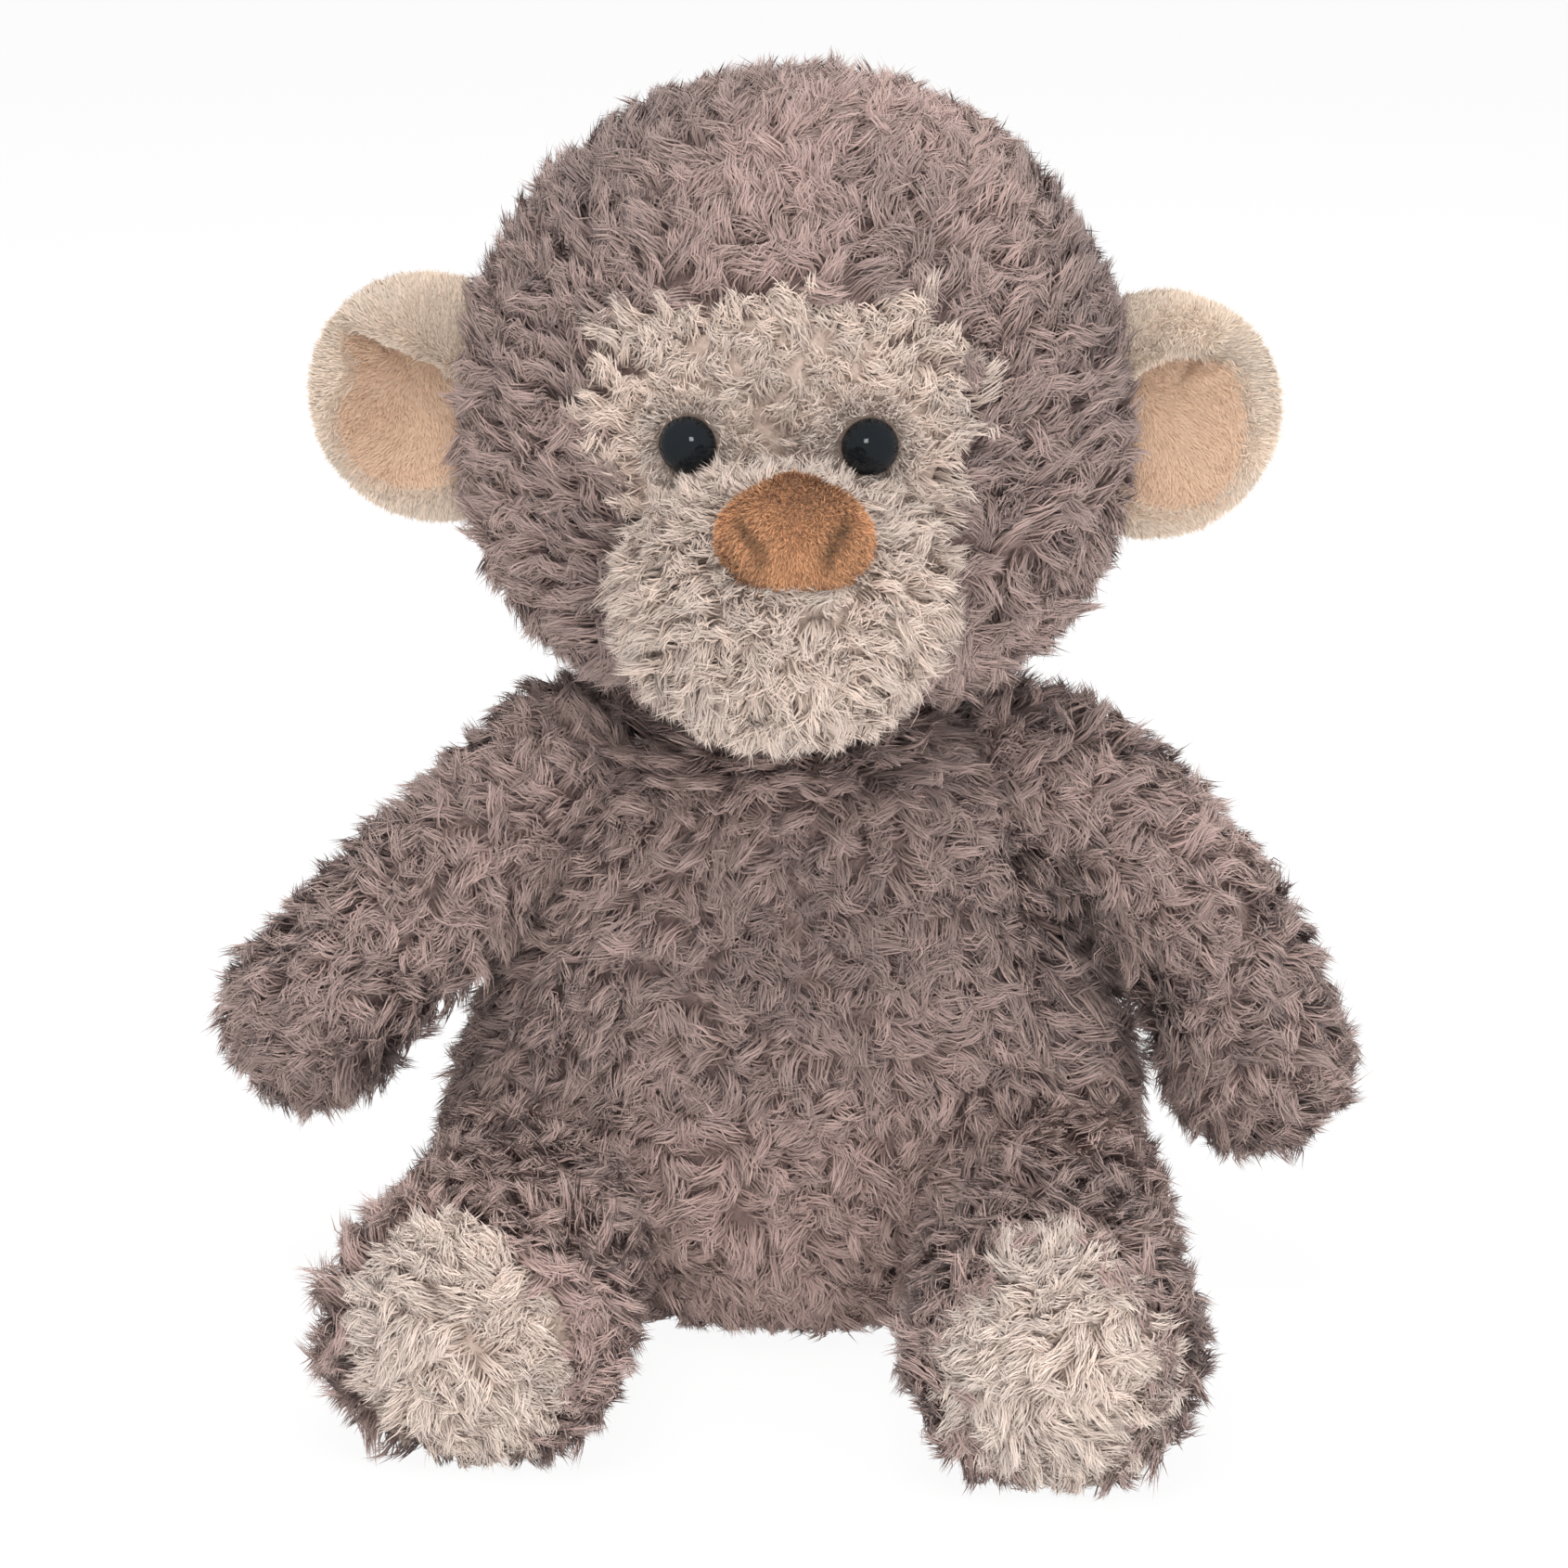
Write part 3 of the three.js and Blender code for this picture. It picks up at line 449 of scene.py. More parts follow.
def ear_place(side, reach, angle, back):
    """From a place in the cup, and how far behind its rim, to the head."""
    x = EAR_RADIUS * reach * np.cos(angle) + EAR_OUT
    x = np.where(x < 0, x * 0.2, x)
    y = back - EAR_AHEAD
    c, s = math.cos(EAR_SWEEP), math.sin(EAR_SWEEP)
    own = np.stack([SIDES[side] * (x * c - y * s), x * s + y * c, EAR_RADIUS * reach * np.sin(angle)], 1)
    return np.array(EAR_JOINT[side]) + own


def ear_back_form(side):
    """From under the peach panel, up the fold's edge, over the rim and down the back."""
    under, wall, rim = 0.25, 0.38, 0.7

    def points(share, angle):
        edge = ear_edge(side, angle)
        height = EAR_RIM_HEIGHT + (EAR_FOLD_HEIGHT - EAR_RIM_HEIGHT) * ear_fold(side, angle)
        inner = np.clip(share / under, 0, 1) * edge
        climb = np.clip((share - under) / (wall - under), 0, 1)
        over = np.clip((share - wall) / (rim - wall), 0, 1)
        behind = np.clip((1 - share) / (1 - rim), 0, 1)
        crest = -height * (1 - np.abs(2 * over - 1) ** 2.6) ** 0.7
        sag = 0.04 * np.sin(climb * math.pi)
        floor = ear_hollow(side, np.minimum(inner, edge), angle) + 1.0
        front = np.where(share < under, floor, floor * (1 - climb))
        reach = np.where(share < under, inner, edge - sag + (1 - edge) * over)
        back = np.where(share < wall, front, crest)
        reach = np.where(share > rim, np.sin(behind * math.pi / 2), reach)
        back = np.where(share > rim, EAR_CUP * np.cos(behind * math.pi / 2), back)
        ripple = 0.35 * np.sin(5 * angle + SIDES[side]) * smooth_step((share - wall) * 8)
        return ear_place(side, reach, angle, back + ripple * smooth_step((rim - share) * 8))

    return Surface(points)


def ear_front_form(side):
    def points(share, angle):
        reach = panel_reach(share) * (ear_edge(side, angle) + EAR_OVERLAP)
        beside = reach * EAR_RADIUS * np.sin(angle - EAR_CREASE["turn"]) - EAR_CREASE["at"]
        crease = EAR_CREASE["height"] * np.exp(-((beside / EAR_CREASE["width"]) ** 2))
        front = ear_hollow(side, reach, angle) - crease * smooth_step(reach * 3 - 0.6)
        return ear_place(side, reach, angle, front + np.where(share < 0.5, 0, EAR_PANEL_THICKNESS))

    return Surface(points)


# Nose: a padded shield with a top that slopes back, a front plane and a fold at each nostril

NOSE_OUTLINE = [(-90, 10.9), (-70, 11.3), (-54, 12.9), (-40, 13.6), (-20, 14.6), (-6, 15.4), (4, 15.2),
                (14, 14.4), (30, 12.7), (50, 11.2), (70, 11.3), (90, 11.6)]  # degrees, reach
NOSE_TILT = math.radians(45)
NOSE_BASE = np.array([NOSE_MIDDLE, -89.4, 199.9])
NOSE_THICKNESS, NOSE_WALL, NOSE_PLANE_HEIGHT = 9.2, 9, 0.8
NOSTRIL = ((10.8, -0.8), (6.2, -8.5))  # the ends of the fold, as (sideways, up)
NOSTRIL_WIDTH, NOSTRIL_DEPTH = 1.25, 1.2


def nostril_fold(u, v):
    """1 in the fold of either nostril, fading to 0 beside it."""
    a, b = np.array(NOSTRIL[0]), np.array(NOSTRIL[1])
    p = np.stack([np.abs(u), v], 1)
    at = np.clip(((p - a) @ (b - a)) / ((b - a) @ (b - a)), 0, 1)
    gap = norm(p - a - at[:, None] * (b - a))
    return np.exp(-((gap / NOSTRIL_WIDTH) ** 2)) * (0.7 + 0.3 * at)


def nose_height(u, v, reach):
    top = NOSE_THICKNESS * np.maximum(1 - reach**2.6, 0) ** 0.62
    fold = NOSTRIL_DEPTH * nostril_fold(u, v)
    plane = NOSE_PLANE_HEIGHT * smooth_step((9.4 + 0.5 * v - np.abs(u)) / 2) * smooth_step((1.5 - v) / 1.6)
    plane *= reach < 0.97
    return top - fold * smooth_step((1 - reach) * 5) + plane * smooth_step((1 - reach) * 6)


NOSE_OUT = np.array([0, -math.cos(NOSE_TILT), math.sin(NOSE_TILT)])
NOSE_UP = np.array([0, math.sin(NOSE_TILT), math.cos(NOSE_TILT)])


def nose_form():
    def points(share, angle):
        rise = np.degrees(np.arcsin(np.clip(np.sin(angle), -1, 1)))
        edge = look_up(NOSE_OUTLINE, rise)
        reach = np.clip(np.minimum(share / 0.5, (1 - share) / 0.35), 0, 1) ** 0.8
        u, v = edge * reach * np.cos(angle), edge * reach * np.sin(angle)
        wall = NOSE_WALL * np.clip((share - 0.5) / 0.15, 0, 1)
        height = np.where(share < 0.5, nose_height(u, v, reach), -wall)
        return NOSE_BASE + u[:, None] * [1, 0, 0] + v[:, None] * NOSE_UP + height[:, None] * NOSE_OUT

    return Surface(points)


# Meshes


def new_object(name, data):
    obj = bpy.data.objects.new(name, data)
    scene.collection.objects.link(obj)
    return obj


def fill(data, key, values, kind=np.float32):
    data.foreach_set(key, np.asarray(values, kind).ravel())


def mesh_object(name, vertices, quads, triangles):
    """A smooth mesh object from arrays, in millimetres."""
    mesh = bpy.data.meshes.new(name)
    mesh.vertices.add(len(vertices))
    fill(mesh.vertices, "co", vertices * MM)
    mesh.loops.add(quads.size + triangles.size)
    fill(mesh.loops, "vertex_index", np.concatenate([quads.ravel(), triangles.ravel()]), np.int32)
    starts = np.concatenate([np.arange(len(quads)) * 4, quads.size + np.arange(len(triangles)) * 3])
    mesh.polygons.add(len(starts))
    fill(mesh.polygons, "loop_start", starts, np.int32)
    mesh.update(calc_edges=True)
    fill(mesh.polygons, "use_smooth", np.ones(len(starts)), bool)
    return new_object(name, mesh)


def closed_mesh(name, surface, depth, rows, columns, limit=None):
    """The surface, or one that lies deeper by depth, as a closed grid."""
    shares = np.linspace(0, 1, rows + 1)[1:-1]
    angles = np.linspace(0, TURN, columns, endpoint=False)
    s, a = (grid.ravel() for grid in np.meshgrid(shares, angles, indexing="ij"))
    p, n = surface.with_normals(s, a)
    p = p - n * depth
    p = np.vstack([p, p[:columns].mean(0), p[-columns:].mean(0)])
    if limit is not None:
        p = limit(p)
    own = np.arange(len(s)).reshape(-1, columns)
    beside = np.roll(own, -1, axis=1)
    quads = np.stack([own[:-1], beside[:-1], beside[1:], own[1:]], 2).reshape(-1, 4)
    first, last = np.full(columns, len(p) - 2), np.full(columns, len(p) - 1)
    ends = (beside[0], own[0], first), (own[-1], beside[-1], last)
    triangles = np.vstack([np.stack(corners, 1) for corners in ends])
    if surface.facing < 0:
        quads, triangles = quads[:, ::-1], triangles[:, ::-1]
    return mesh_object(name, p, quads, triangles)


# Pile


def drift(points, scale, seed):
    """A smooth random vector for each point, each part mostly between -1 and 1."""
    rng = np.random.default_rng(seed)
    waves = 7
    total = np.zeros((len(points), 3))
    for _ in range(waves):
        way = unit(rng.normal(size=3)) * TURN / (scale * rng.uniform(1.3, 3.5))
        total += np.sin(points @ way + rng.uniform(0, TURN))[:, None] * rng.normal(size=3)
    return total / math.sqrt(waves)


def lock_roots(body, spacing, seed):
    """Places of the locks, in jittered rows round a body."""
    rng = np.random.default_rng(seed)
    rows = max(int(body.length() / spacing), 4)
    shares, angles = [], []
    for row in range(rows):
        share = (row + 0.5) / rows
        count = max(int(body.girth(share) / spacing), 1)
        turn = np.arange(count) + 0.5 * (row % 2) + rng.uniform(-0.4, 0.4, count)
        angles.append(turn / count * TURN)
        shares.append(share + rng.uniform(-0.4, 0.4, count) / rows)
    share, angle = np.concatenate(shares), np.concatenate(angles)
    p, n = body.with_normals(share, angle)
    return p - n * ROOT_DEPTH, n, share


LOCK_RINGS = 5
LENGTHS, CURLS, WAVES, REACHES = (0.8, 1.2), (0.5, 1.0), (0.5, 1.0), (0.92, 1.06)  # least and most
FIBRE_LENGTHS, STRAND_WIDTHS = (0.7, 1.15), (0.75, 1.25)
SHORTER_OUTSIDE = 0.22  # the share by which a lock's outermost strands are shorter
STRAY_GATHER, STRAY_FRAY = 0.1, 0.9  # in place of the look's own, for strands that leave their lock
LOCK_SHADES, STRAND_SHADES, FIBRE_SHADES = 0.45, 0.6, 0.7  # how far the shades spread
BLADE_ENDS, BLADE_SWELL, BLADE_TAPER = 0.8, 0.45, 0.9  # shares of the width
BLADE_ROUNDING = 0.25  # how far the normals of a blade's two edges lean apart


def strand_path(ways, length):
    """From the root, as many equal steps as there are ways."""
    steps = ways * (length / ways.shape[1])[:, None, None]
    return np.concatenate([np.zeros((len(ways), 1, 3)), np.cumsum(steps, 1)], 1)


def locks(roots, normals, naps, look, rng):
    """Curly locks of many strands: their points, which way each faces, and each strand's shade."""
    n, m = len(roots), look["strands"]
    nap = unit(across(naps, normals))
    cross = np.cross(normals, nap)
    length = look["length"] * look["size"] * rng.uniform(*LENGTHS, n)
    start = rng.normal(0, look["swirl"], n)
    curl = rng.uniform(*CURLS, n) * look["curl"] * rng.choice([-1, 1], n)
    bend = rng.normal(0, look["bend"], n)
    phase = rng.uniform(0, TURN, n)
    waves = rng.uniform(*WAVES, n)
    lift_first = np.radians(rng.uniform(*look["stand"], n))[:, None]
    lift_last = np.radians(rng.uniform(*look["lay"], n))[:, None]
    t = np.linspace(0, 1, LOCK_RINGS)
    mid = (t[1:] + t[:-1]) / 2
    swing = np.sin(TURN * waves[:, None] * mid + phase[:, None]) - np.sin(phase)[:, None]
    yaw = start[:, None] + bend[:, None] * (0.4 * mid + 1.2 * mid**3) + curl[:, None] * swing
    lift = lift_first + (lift_last - lift_first) * mid**0.8
    ahead = leaning(yaw, nap[:, None], cross[:, None])
    path = strand_path(leaning(lift, ahead, normals[:, None]), length)

    angle = rng.uniform(0, TURN, (n, m))
    out = np.sqrt(rng.uniform(0, 1, (n, m)))
    radius = look["radius"] * out
    stray = rng.uniform(0, 1, (n, m)) < look["strays"]
    offset = (radius * np.cos(angle))[..., None] * nap[:, None]
    offset = offset + (radius * np.sin(angle))[..., None] * cross[:, None]
    reach = (rng.uniform(*REACHES, (n, m)) - SHORTER_OUTSIDE * out**2)[..., None, None]
    hold = 1 - np.where(stray, STRAY_GATHER, look["gather"])[..., None] * t**1.3
    strand = roots[:, None, None] + offset[:, :, None] * hold[..., None] + path[:, None] * reach
    wobble = rng.normal(0, 1, (n, m, 1, 3)) * np.sin(t * math.pi * 1.5)[:, None]
    strand += wobble * np.where(stray, STRAY_FRAY, look["fray"])[..., None, None]
    strand += rng.normal(0, look["crimp"], (n, m, LOCK_RINGS, 3)) * smooth_step(t * 2)[:, None]
    facing = offset[:, :, None] / look["radius"] * 0.8 + normals[:, None, None] * 0.9
    facing = np.broadcast_to(facing, (n, m, LOCK_RINGS, 3))
    shade = look["shade"][:, None] + rng.normal(0, LOCK_SHADES, (n, 1))
    shade = shade + rng.normal(0, STRAND_SHADES, (n, m))
    whole = (n * m, LOCK_RINGS, 3)
    return strand.reshape(whole), facing.reshape(whole), shade.ravel()


def short_pile(roots, normals, naps, look, rng):
    """Short fibres that stand out of a cloth one by one and lean over along its nap."""
    n, rings = len(roots), look["rings"]
    nap = unit(across(naps, normals) + rng.normal(0, look["swirl"], (n, 3)))
    lean = rng.uniform(*look["lean"], n)[:, None]
    t = np.linspace(0, 1, rings)
    angle = lean * (0.6 + 0.8 * (t[1:] + t[:-1]) / 2)
    length = look["length"] * look["size"] * rng.uniform(*FIBRE_LENGTHS, n)
    strand = roots[:, None] + strand_path(leaning(angle, normals[:, None], nap[:, None]), length)
    facing = np.broadcast_to((normals + rng.normal(0, 0.25, (n, 3)))[:, None], strand.shape)
    return strand, facing, look["shade"] + rng.normal(0, FIBRE_SHADES, n)


def both_edges(middle, aside):
    """The two edges of a blade at every ring, and its tip."""
    pairs = np.stack([middle - aside, middle + aside], 2)[:, :-1]
    return np.concatenate([pairs.reshape(len(middle), -1, 3), middle[:, -1:]], 1).reshape(-1, 3)


def strand_mesh(name, strand, facing, shade, look, rng, floor):
    """Each strand as a thin blade that narrows to a point."""
    count, rings = strand.shape[:2]
    t = np.linspace(0, 1, rings)
    if floor is not None:
        strand[..., 2] = np.maximum(strand[..., 2], floor + 0.25 * rng.uniform(0, 1, (count, 1)))
    tangent = unit(np.gradient(strand, axis=1))
    facing = unit(facing)
    roll = facing[:, :1] + rng.normal(0, look["roll"], (count, 1, 3))
    side = unit(np.cross(tangent, roll))
    top = np.cross(side, tangent)
    swell = BLADE_ENDS + BLADE_SWELL * np.sin(math.pi * t)
    width = look["width"] * rng.uniform(*STRAND_WIDTHS, count)[:, None] * swell * (1 - BLADE_TAPER * t**6)
    vertices = both_edges(strand, side * (width / 2)[..., None])
    normals = unit(both_edges(0.45 * top + 0.55 * facing, side * BLADE_ROUNDING))
    per = 2 * rings - 1
    base = (np.arange(count) * per)[:, None, None]
    ring = np.arange(rings - 2)[:, None] * 2
    quads = (base + np.concatenate([ring, ring + 1, ring + 3, ring + 2], 1)[None]).reshape(-1, 4)
    triangles = (base + [[per - 3, per - 2, per - 1]]).reshape(-1, 3)
    obj = mesh_object(name, vertices, quads, triangles)
    along = np.append(np.repeat(t[:-1], 2), 1.0)
    sides = np.append(np.tile([-0.0015, 0.0015], rings - 1), 0)
    u = 0.5 + 0.46 * np.tanh(shade * 0.6)
    uv = np.stack(np.broadcast_arrays(u[:, None] + sides, along * 0.96 + 0.02), 2).reshape(-1, 2)
    finish_strands(obj, uv, normals, look)
    return obj


def strand_colour(uv, look):
    """Colour from the strand's shade, u, and the place along it, v."""
    root, mid, tip = (np.array(c) for c in look["colours"])
    u, v = uv[:, :1], uv[:, 1:]
    low, high = np.clip(v / 0.55, 0, 1), np.clip((v - 0.55) / 0.45, 0, 1)
    base = (root * (1 - low) + mid * low) * (1 - high) + tip * high
    if "edge" in look:
        edge = smooth_step((u - 0.4) / 0.4)
        base = base * (1 - edge) + np.array(look["edge"][1]) * (0.85 + 0.15 * v) * edge
    lightness = 1 + look["contrast"] * (u - 0.5)
    warmth = (u - 0.5) * np.array([0.06, 0, -0.04])
    return np.clip(base * (lightness + warmth), 0, 1)


def finish_strands(obj, uv, normals, look):
    mesh = obj.data
    corner = np.zeros(len(mesh.loops), np.int32)
    mesh.loops.foreach_get("vertex_index", corner)
    fill(mesh.uv_layers.new(name="OFBake").data, "uv", uv[corner])
    colour = np.concatenate([strand_colour(uv, look), np.ones((len(uv), 1))], 1)
    fill(mesh.color_attributes.new("pile", "FLOAT_COLOR", "POINT").data, "color", colour)
    if look["soft"]:
        fill(mesh.attributes.new("custom_normal", "FLOAT_VECTOR", "POINT").data, "vector", normals)
    mesh.materials.append(pile)


# Materials


def set_inputs(node, values):
    for name, value in values.items():
        node.inputs[name].default_value = value


def new_material(name, roughness, specular):
    material = bpy.data.materials.new(name)
    material.use_nodes = True
    nodes, links = material.node_tree.nodes, material.node_tree.links
    shader = nodes["Principled BSDF"]
    set_inputs(shader, {"Roughness": roughness, "Specular IOR Level": specular})
    return material, nodes, links, shader


def pile_material():
    material, nodes, links, shader = new_material("curly_pile", 0.85, 0.2)
    paint = nodes.new("ShaderNodeVertexColor")
    paint.layer_name = "pile"
    links.new(paint.outputs["Color"], shader.inputs["Base Color"])
    set_inputs(shader, {"Sheen Weight": 0.15, "Sheen Roughness": 0.5})
    return material


def grained_material(name, dark, light, scale, bump, roughness, specular):
    """A material whose colour and relief vary with a fine noise."""
    material, nodes, links, shader = new_material(name, roughness, specular)
    place = nodes.new("ShaderNodeTexCoord")
    grain = nodes.new("ShaderNodeTexNoise")
    set_inputs(grain, {"Scale": scale, "Detail": 4})
    shades = nodes.new("ShaderNodeValToRGB")
    for element, colour, position in zip(shades.color_ramp.elements, (dark, light), (0.3, 0.7)):
        element.color = (*colour, 1)
        element.position = position
    relief = nodes.new("ShaderNodeBump")
    set_inputs(relief, {"Strength": bump, "Distance": 0.0006})
    links.new(place.outputs["Object"], grain.inputs["Vector"])
    links.new(grain.outputs["Fac"], shades.inputs["Fac"])
    links.new(grain.outputs["Fac"], relief.inputs["Height"])
    links.new(shades.outputs["Color"], shader.inputs["Base Color"])
    links.new(relief.outputs["Normal"], shader.inputs["Normal"])
    return material


# Colours of strands at root, middle and tip

BROWN = ((0.215, 0.149, 0.132), (0.293, 0.209, 0.19), (0.392, 0.293, 0.267))
PALE = ((0.388, 0.295, 0.247), (0.512, 0.408, 0.348), (0.595, 0.502, 0.442))
SOLE = ((0.39, 0.30, 0.255), (0.53, 0.43, 0.375), (0.64, 0.55, 0.49))
CREAM = ((0.475, 0.37, 0.285), (0.63, 0.515, 0.415), (0.73, 0.625, 0.535))
PEACH = ((0.54, 0.335, 0.22), (0.715, 0.485, 0.335), (0.82, 0.595, 0.44))
NOSE_BROWN = ((0.21, 0.092, 0.045), (0.36, 0.175, 0.085), (0.51, 0.285, 0.16))

# Materials of the skins by slot, and of the pieces inside: name, dark and light colour, fineness of the
# grain, strength of its relief, roughness and gloss

PLUSH_GRAIN, VELVET_GRAIN = 900, 1500
CLOTH = (0.95, 0.2)
GRAINED = {
    "brown_plush": ("brown_backing", (0.17, 0.115, 0.105), (0.25, 0.175, 0.16), PLUSH_GRAIN, 0.6, *CLOTH),
    "pale_plush": ("pale_backing", (0.38, 0.29, 0.24), (0.52, 0.41, 0.35), PLUSH_GRAIN, 0.6, *CLOTH),
    "cream_minky": ("cream_velvet", (0.48, 0.37, 0.285), (0.60, 0.48, 0.38), VELVET_GRAIN, 0.4, *CLOTH),
    "peach_minky": ("peach_velvet", (0.46, 0.295, 0.195), (0.58, 0.385, 0.27), VELVET_GRAIN, 0.4, *CLOTH),
    "nose_cloth": ("nose_velvet", (0.2, 0.09, 0.045), (0.34, 0.165, 0.085), VELVET_GRAIN, 0.5, *CLOTH),
    "eye": ("eye_gloss", (0.004, 0.006, 0.008), (0.006, 0.009, 0.012), 120, 0.0, 0.06, 0.42),
    "stuffing": ("stuffing_fibre", (0.7, 0.7, 0.68), (0.86, 0.86, 0.83), 260, 0.9, *CLOTH),
    "washer": ("washer_plastic", (0.74, 0.74, 0.71), (0.8, 0.8, 0.77), 90, 0.05, 0.5, 0.2),
}

pile = pile_material()
MATERIALS = {slot: grained_material(*values) for slot, values in GRAINED.items()}


# Looks of the pile in its different places. Lengths, radii, widths, fray and crimp are millimetres.
# Swirl, curl, bend and lean are radians, and stand and lay are degrees above the cloth at root and tip.
# Patches are the size of light and dark areas, and soft strands are shaded as one round lock.
# A velvet's area is in square millimetres and gives the number of its fibres.

LOCK_SPACING, FACE_SPACING, MUZZLE_SPACING, SOLE_SPACING = 4.0, 3.3, 3.5, 3.2
STRANDS = 32
THICKER = 1.12
VELVET_DENSITY = 10.0  # fibres on a square millimetre
EYE_RIM_FIBRES = 1400
MOST_STRANDS = 28000  # in one piece, so that each stays a light mesh

BROWN_LOOK = {
    "slot": "brown_plush", "strands": STRANDS, "length": 12.0, "radius": 2.7, "width": 0.27 * THICKER,
    "swirl": 0.5, "curl": 0.85, "bend": 0.9, "stand": (45, 70), "lay": (2, 36), "gather": 0.3,
    "fray": 0.35, "crimp": 0.2, "strays": 0.22, "roll": 0.4, "colours": BROWN, "contrast": 0.75,
    "patches": 30, "soft": True,
}
HEAD_LOOK = BROWN_LOOK | {"swirl": 0.4}
NECK_LOOK = BROWN_LOOK | {"length": 8.0}
PALE_LOOK = BROWN_LOOK | {"slot": "pale_plush", "length": 9.5, "radius": 2.3, "colours": PALE,
                          "contrast": 0.45, "patches": 18}
MUZZLE_LOOK = PALE_LOOK | {"length": 10.5, "swirl": 0.45, "curl": 0.75, "bend": 0.6, "lay": (8, 38),
                           "fray": 0.4}
SOLE_LOOK = PALE_LOOK | {"curl": 0.5, "bend": 0.6, "lay": (12, 40), "colours": SOLE, "gather": 0.2,
                         "strays": 0.12}
VELVET_LOOK = {
    "rings": 3, "length": 2.1, "swirl": 0.25, "lean": (1.0, 1.35), "size": 1.0, "shade": 0.0,
    "contrast": 0.35, "width": 0.19 * THICKER, "roll": 0.25, "soft": False,
}
# The fibres round the eyes take the lightest pale colours, as painted light against the shade of the sockets
EYE_RIM_LOOK = VELVET_LOOK | {"slot": "pale_plush", "colours": (PALE[2], PALE[2], SOLE[2]), "rings": 4,
                              "length": 4.2, "lean": (-0.1, 1.1), "swirl": 0.7, "soft": True}
EAR_BACK_LOOK = VELVET_LOOK | {"slot": "cream_minky", "colours": CREAM, "area": 4700}
EAR_FRONT_LOOK = VELVET_LOOK | {"slot": "peach_minky", "colours": PEACH, "area": 1700, "edge": CREAM,
                                "contrast": 0.2}
NOSE_LOOK = VELVET_LOOK | {"slot": "nose_cloth", "colours": NOSE_BROWN, "area": 1900, "length": 1.6,
                           "contrast": 1.3, "swirl": 0.4}


def add_pile(name, body, strands, look, rng, floor=None):
    """Makes the strands, in as many pieces as they need."""
    strand, facing, shade = strands
    pieces = max(1, math.ceil(len(strand) / MOST_STRANDS))
    order = np.argsort(np.arctan2(strand[:, 0, 0], -strand[:, 0, 1]), kind="stable")
    for number, part in enumerate(np.array_split(order, pieces)):
        label = f"{name}_{number + 1}" if pieces > 1 else name
        obj = strand_mesh(label, strand[part], facing[part], shade[part], look, rng, floor)
        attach(obj, body)


def grow_locks(name, body, p, n, nap, look, seed, size=1.0, tone_and_painted_light=0.0, floor=None):
    """Locks at the given places, in light and dark patches, shifted by the given tone and painted light."""
    rng = np.random.default_rng(seed)
    shade = drift(p, look["patches"], seed)[:, 0] * 0.55 + tone_and_painted_light
    look = look | {"size": size, "shade": shade}
    add_pile(name, body, locks(p, n, nap, look, rng), look, rng, floor)


def keep(mask, *arrays):
    return [a[mask] for a in arrays]


COVERED = 6  # locks of a limb don't grow this deep in the torso
TORSO_TOP, PARTING_WIDTH, PARTING_HEIGHTS, COLLAR_HEIGHTS = 140, 5, (70, 100), (118, 132)
FLANK_OUT, FLANK_BOTTOM, FLANK_TOP = (45, 60), (45, 65), (115, 100)  # where the armpit's locks begin
BELLY_PAINTED_LIGHT, CHEST_PAINTED_SHADOW = (70, 20), (95, 125)  # heights between which painted light lightens the lower belly and a painted shadow darkens the chest
LEG_PAINTED_LIGHT, SOLE_TONE = 0.35, {"left": -0.3, "right": 0.3}  # lighter above 0, darker below it; on the legs this is painted light
OUTER_TUFTS = (35, 75)  # how far along the right leg its outer locks begin to stand out


def off_the_torso(p):
    good = p[:, 2] > LOWEST_ROOT
    for side in SIDES:
        good &= norm(p - shoulder(side)) > ARM["root"] - 2
        good &= ~FORMS[f"{side}_leg"].contains(p, 4)
    return good


def torso_pile():
    """Locks that hang down, part along the chest, stand up round the neck and hide the left armpit."""
    p, n, _ = lock_roots(FORMS["torso"], LOCK_SPACING, seed=11)
    p, n = keep(off_the_torso(p) & (p[:, 2] < TORSO_TOP), p, n)
    x, y, z = p.T
    front = y < SIDE_SEAM_BACK
    parting = np.exp(-((x / PARTING_WIDTH) ** 2)) * ramp(z, *PARTING_HEIGHTS) * front
    nap = DOWN + drift(p, scale=20, seed=3) * 0.9
    nap[:, 0] += np.sign(x) * parting
    collar = ramp(z, *COLLAR_HEIGHTS)[:, None]
    nap = nap * (1 - collar) + (unit(p * [1, 1, 0]) + UP * 0.6) * collar
    flank = ramp(x, *FLANK_OUT) * ramp(z, *FLANK_BOTTOM) * ramp(z, *FLANK_TOP)
    nap = nap + flank[:, None] * [0.9, -0.3, 0]
    size = 1 - 0.4 * parting + 0.5 * collar[:, 0] + 0.45 * flank
    # Painted light: the lower belly's locks are lighter, and the chest's are a little darker as a painted
    # shadow under the head
    tone_and_painted_light = 2.4 * ramp(z, *BELLY_PAINTED_LIGHT) - 0.1 * ramp(z, *CHEST_PAINTED_SHADOW)
    for label, mask, seed in (("front", front, 21), ("back", ~front, 22)):
        *own, own_size, own_painted_light = keep(mask, p, n, nap, size, tone_and_painted_light)
        grow_locks(f"torso_{label}_pile", "torso", *own, BROWN_LOOK, seed, own_size, own_painted_light,
                   LOWEST_STRAND)


def neck_pile():
    p, n, _ = lock_roots(FORMS["neck"], LOCK_SPACING, seed=15)
    p, n = keep(np.abs(p[:, 2] - NECK[2]) < 9, p + n * 3, n)
    grow_locks("neck_pile", "neck", p, n, np.tile(DOWN, (len(p), 1)), NECK_LOOK, seed=26)


def on_face(p):
    return (face_share(p[:, 0], p[:, 2]) < 1) & (p[:, 1] < -20) & (p[:, 2] > FACE_OUTLINE[0][0])


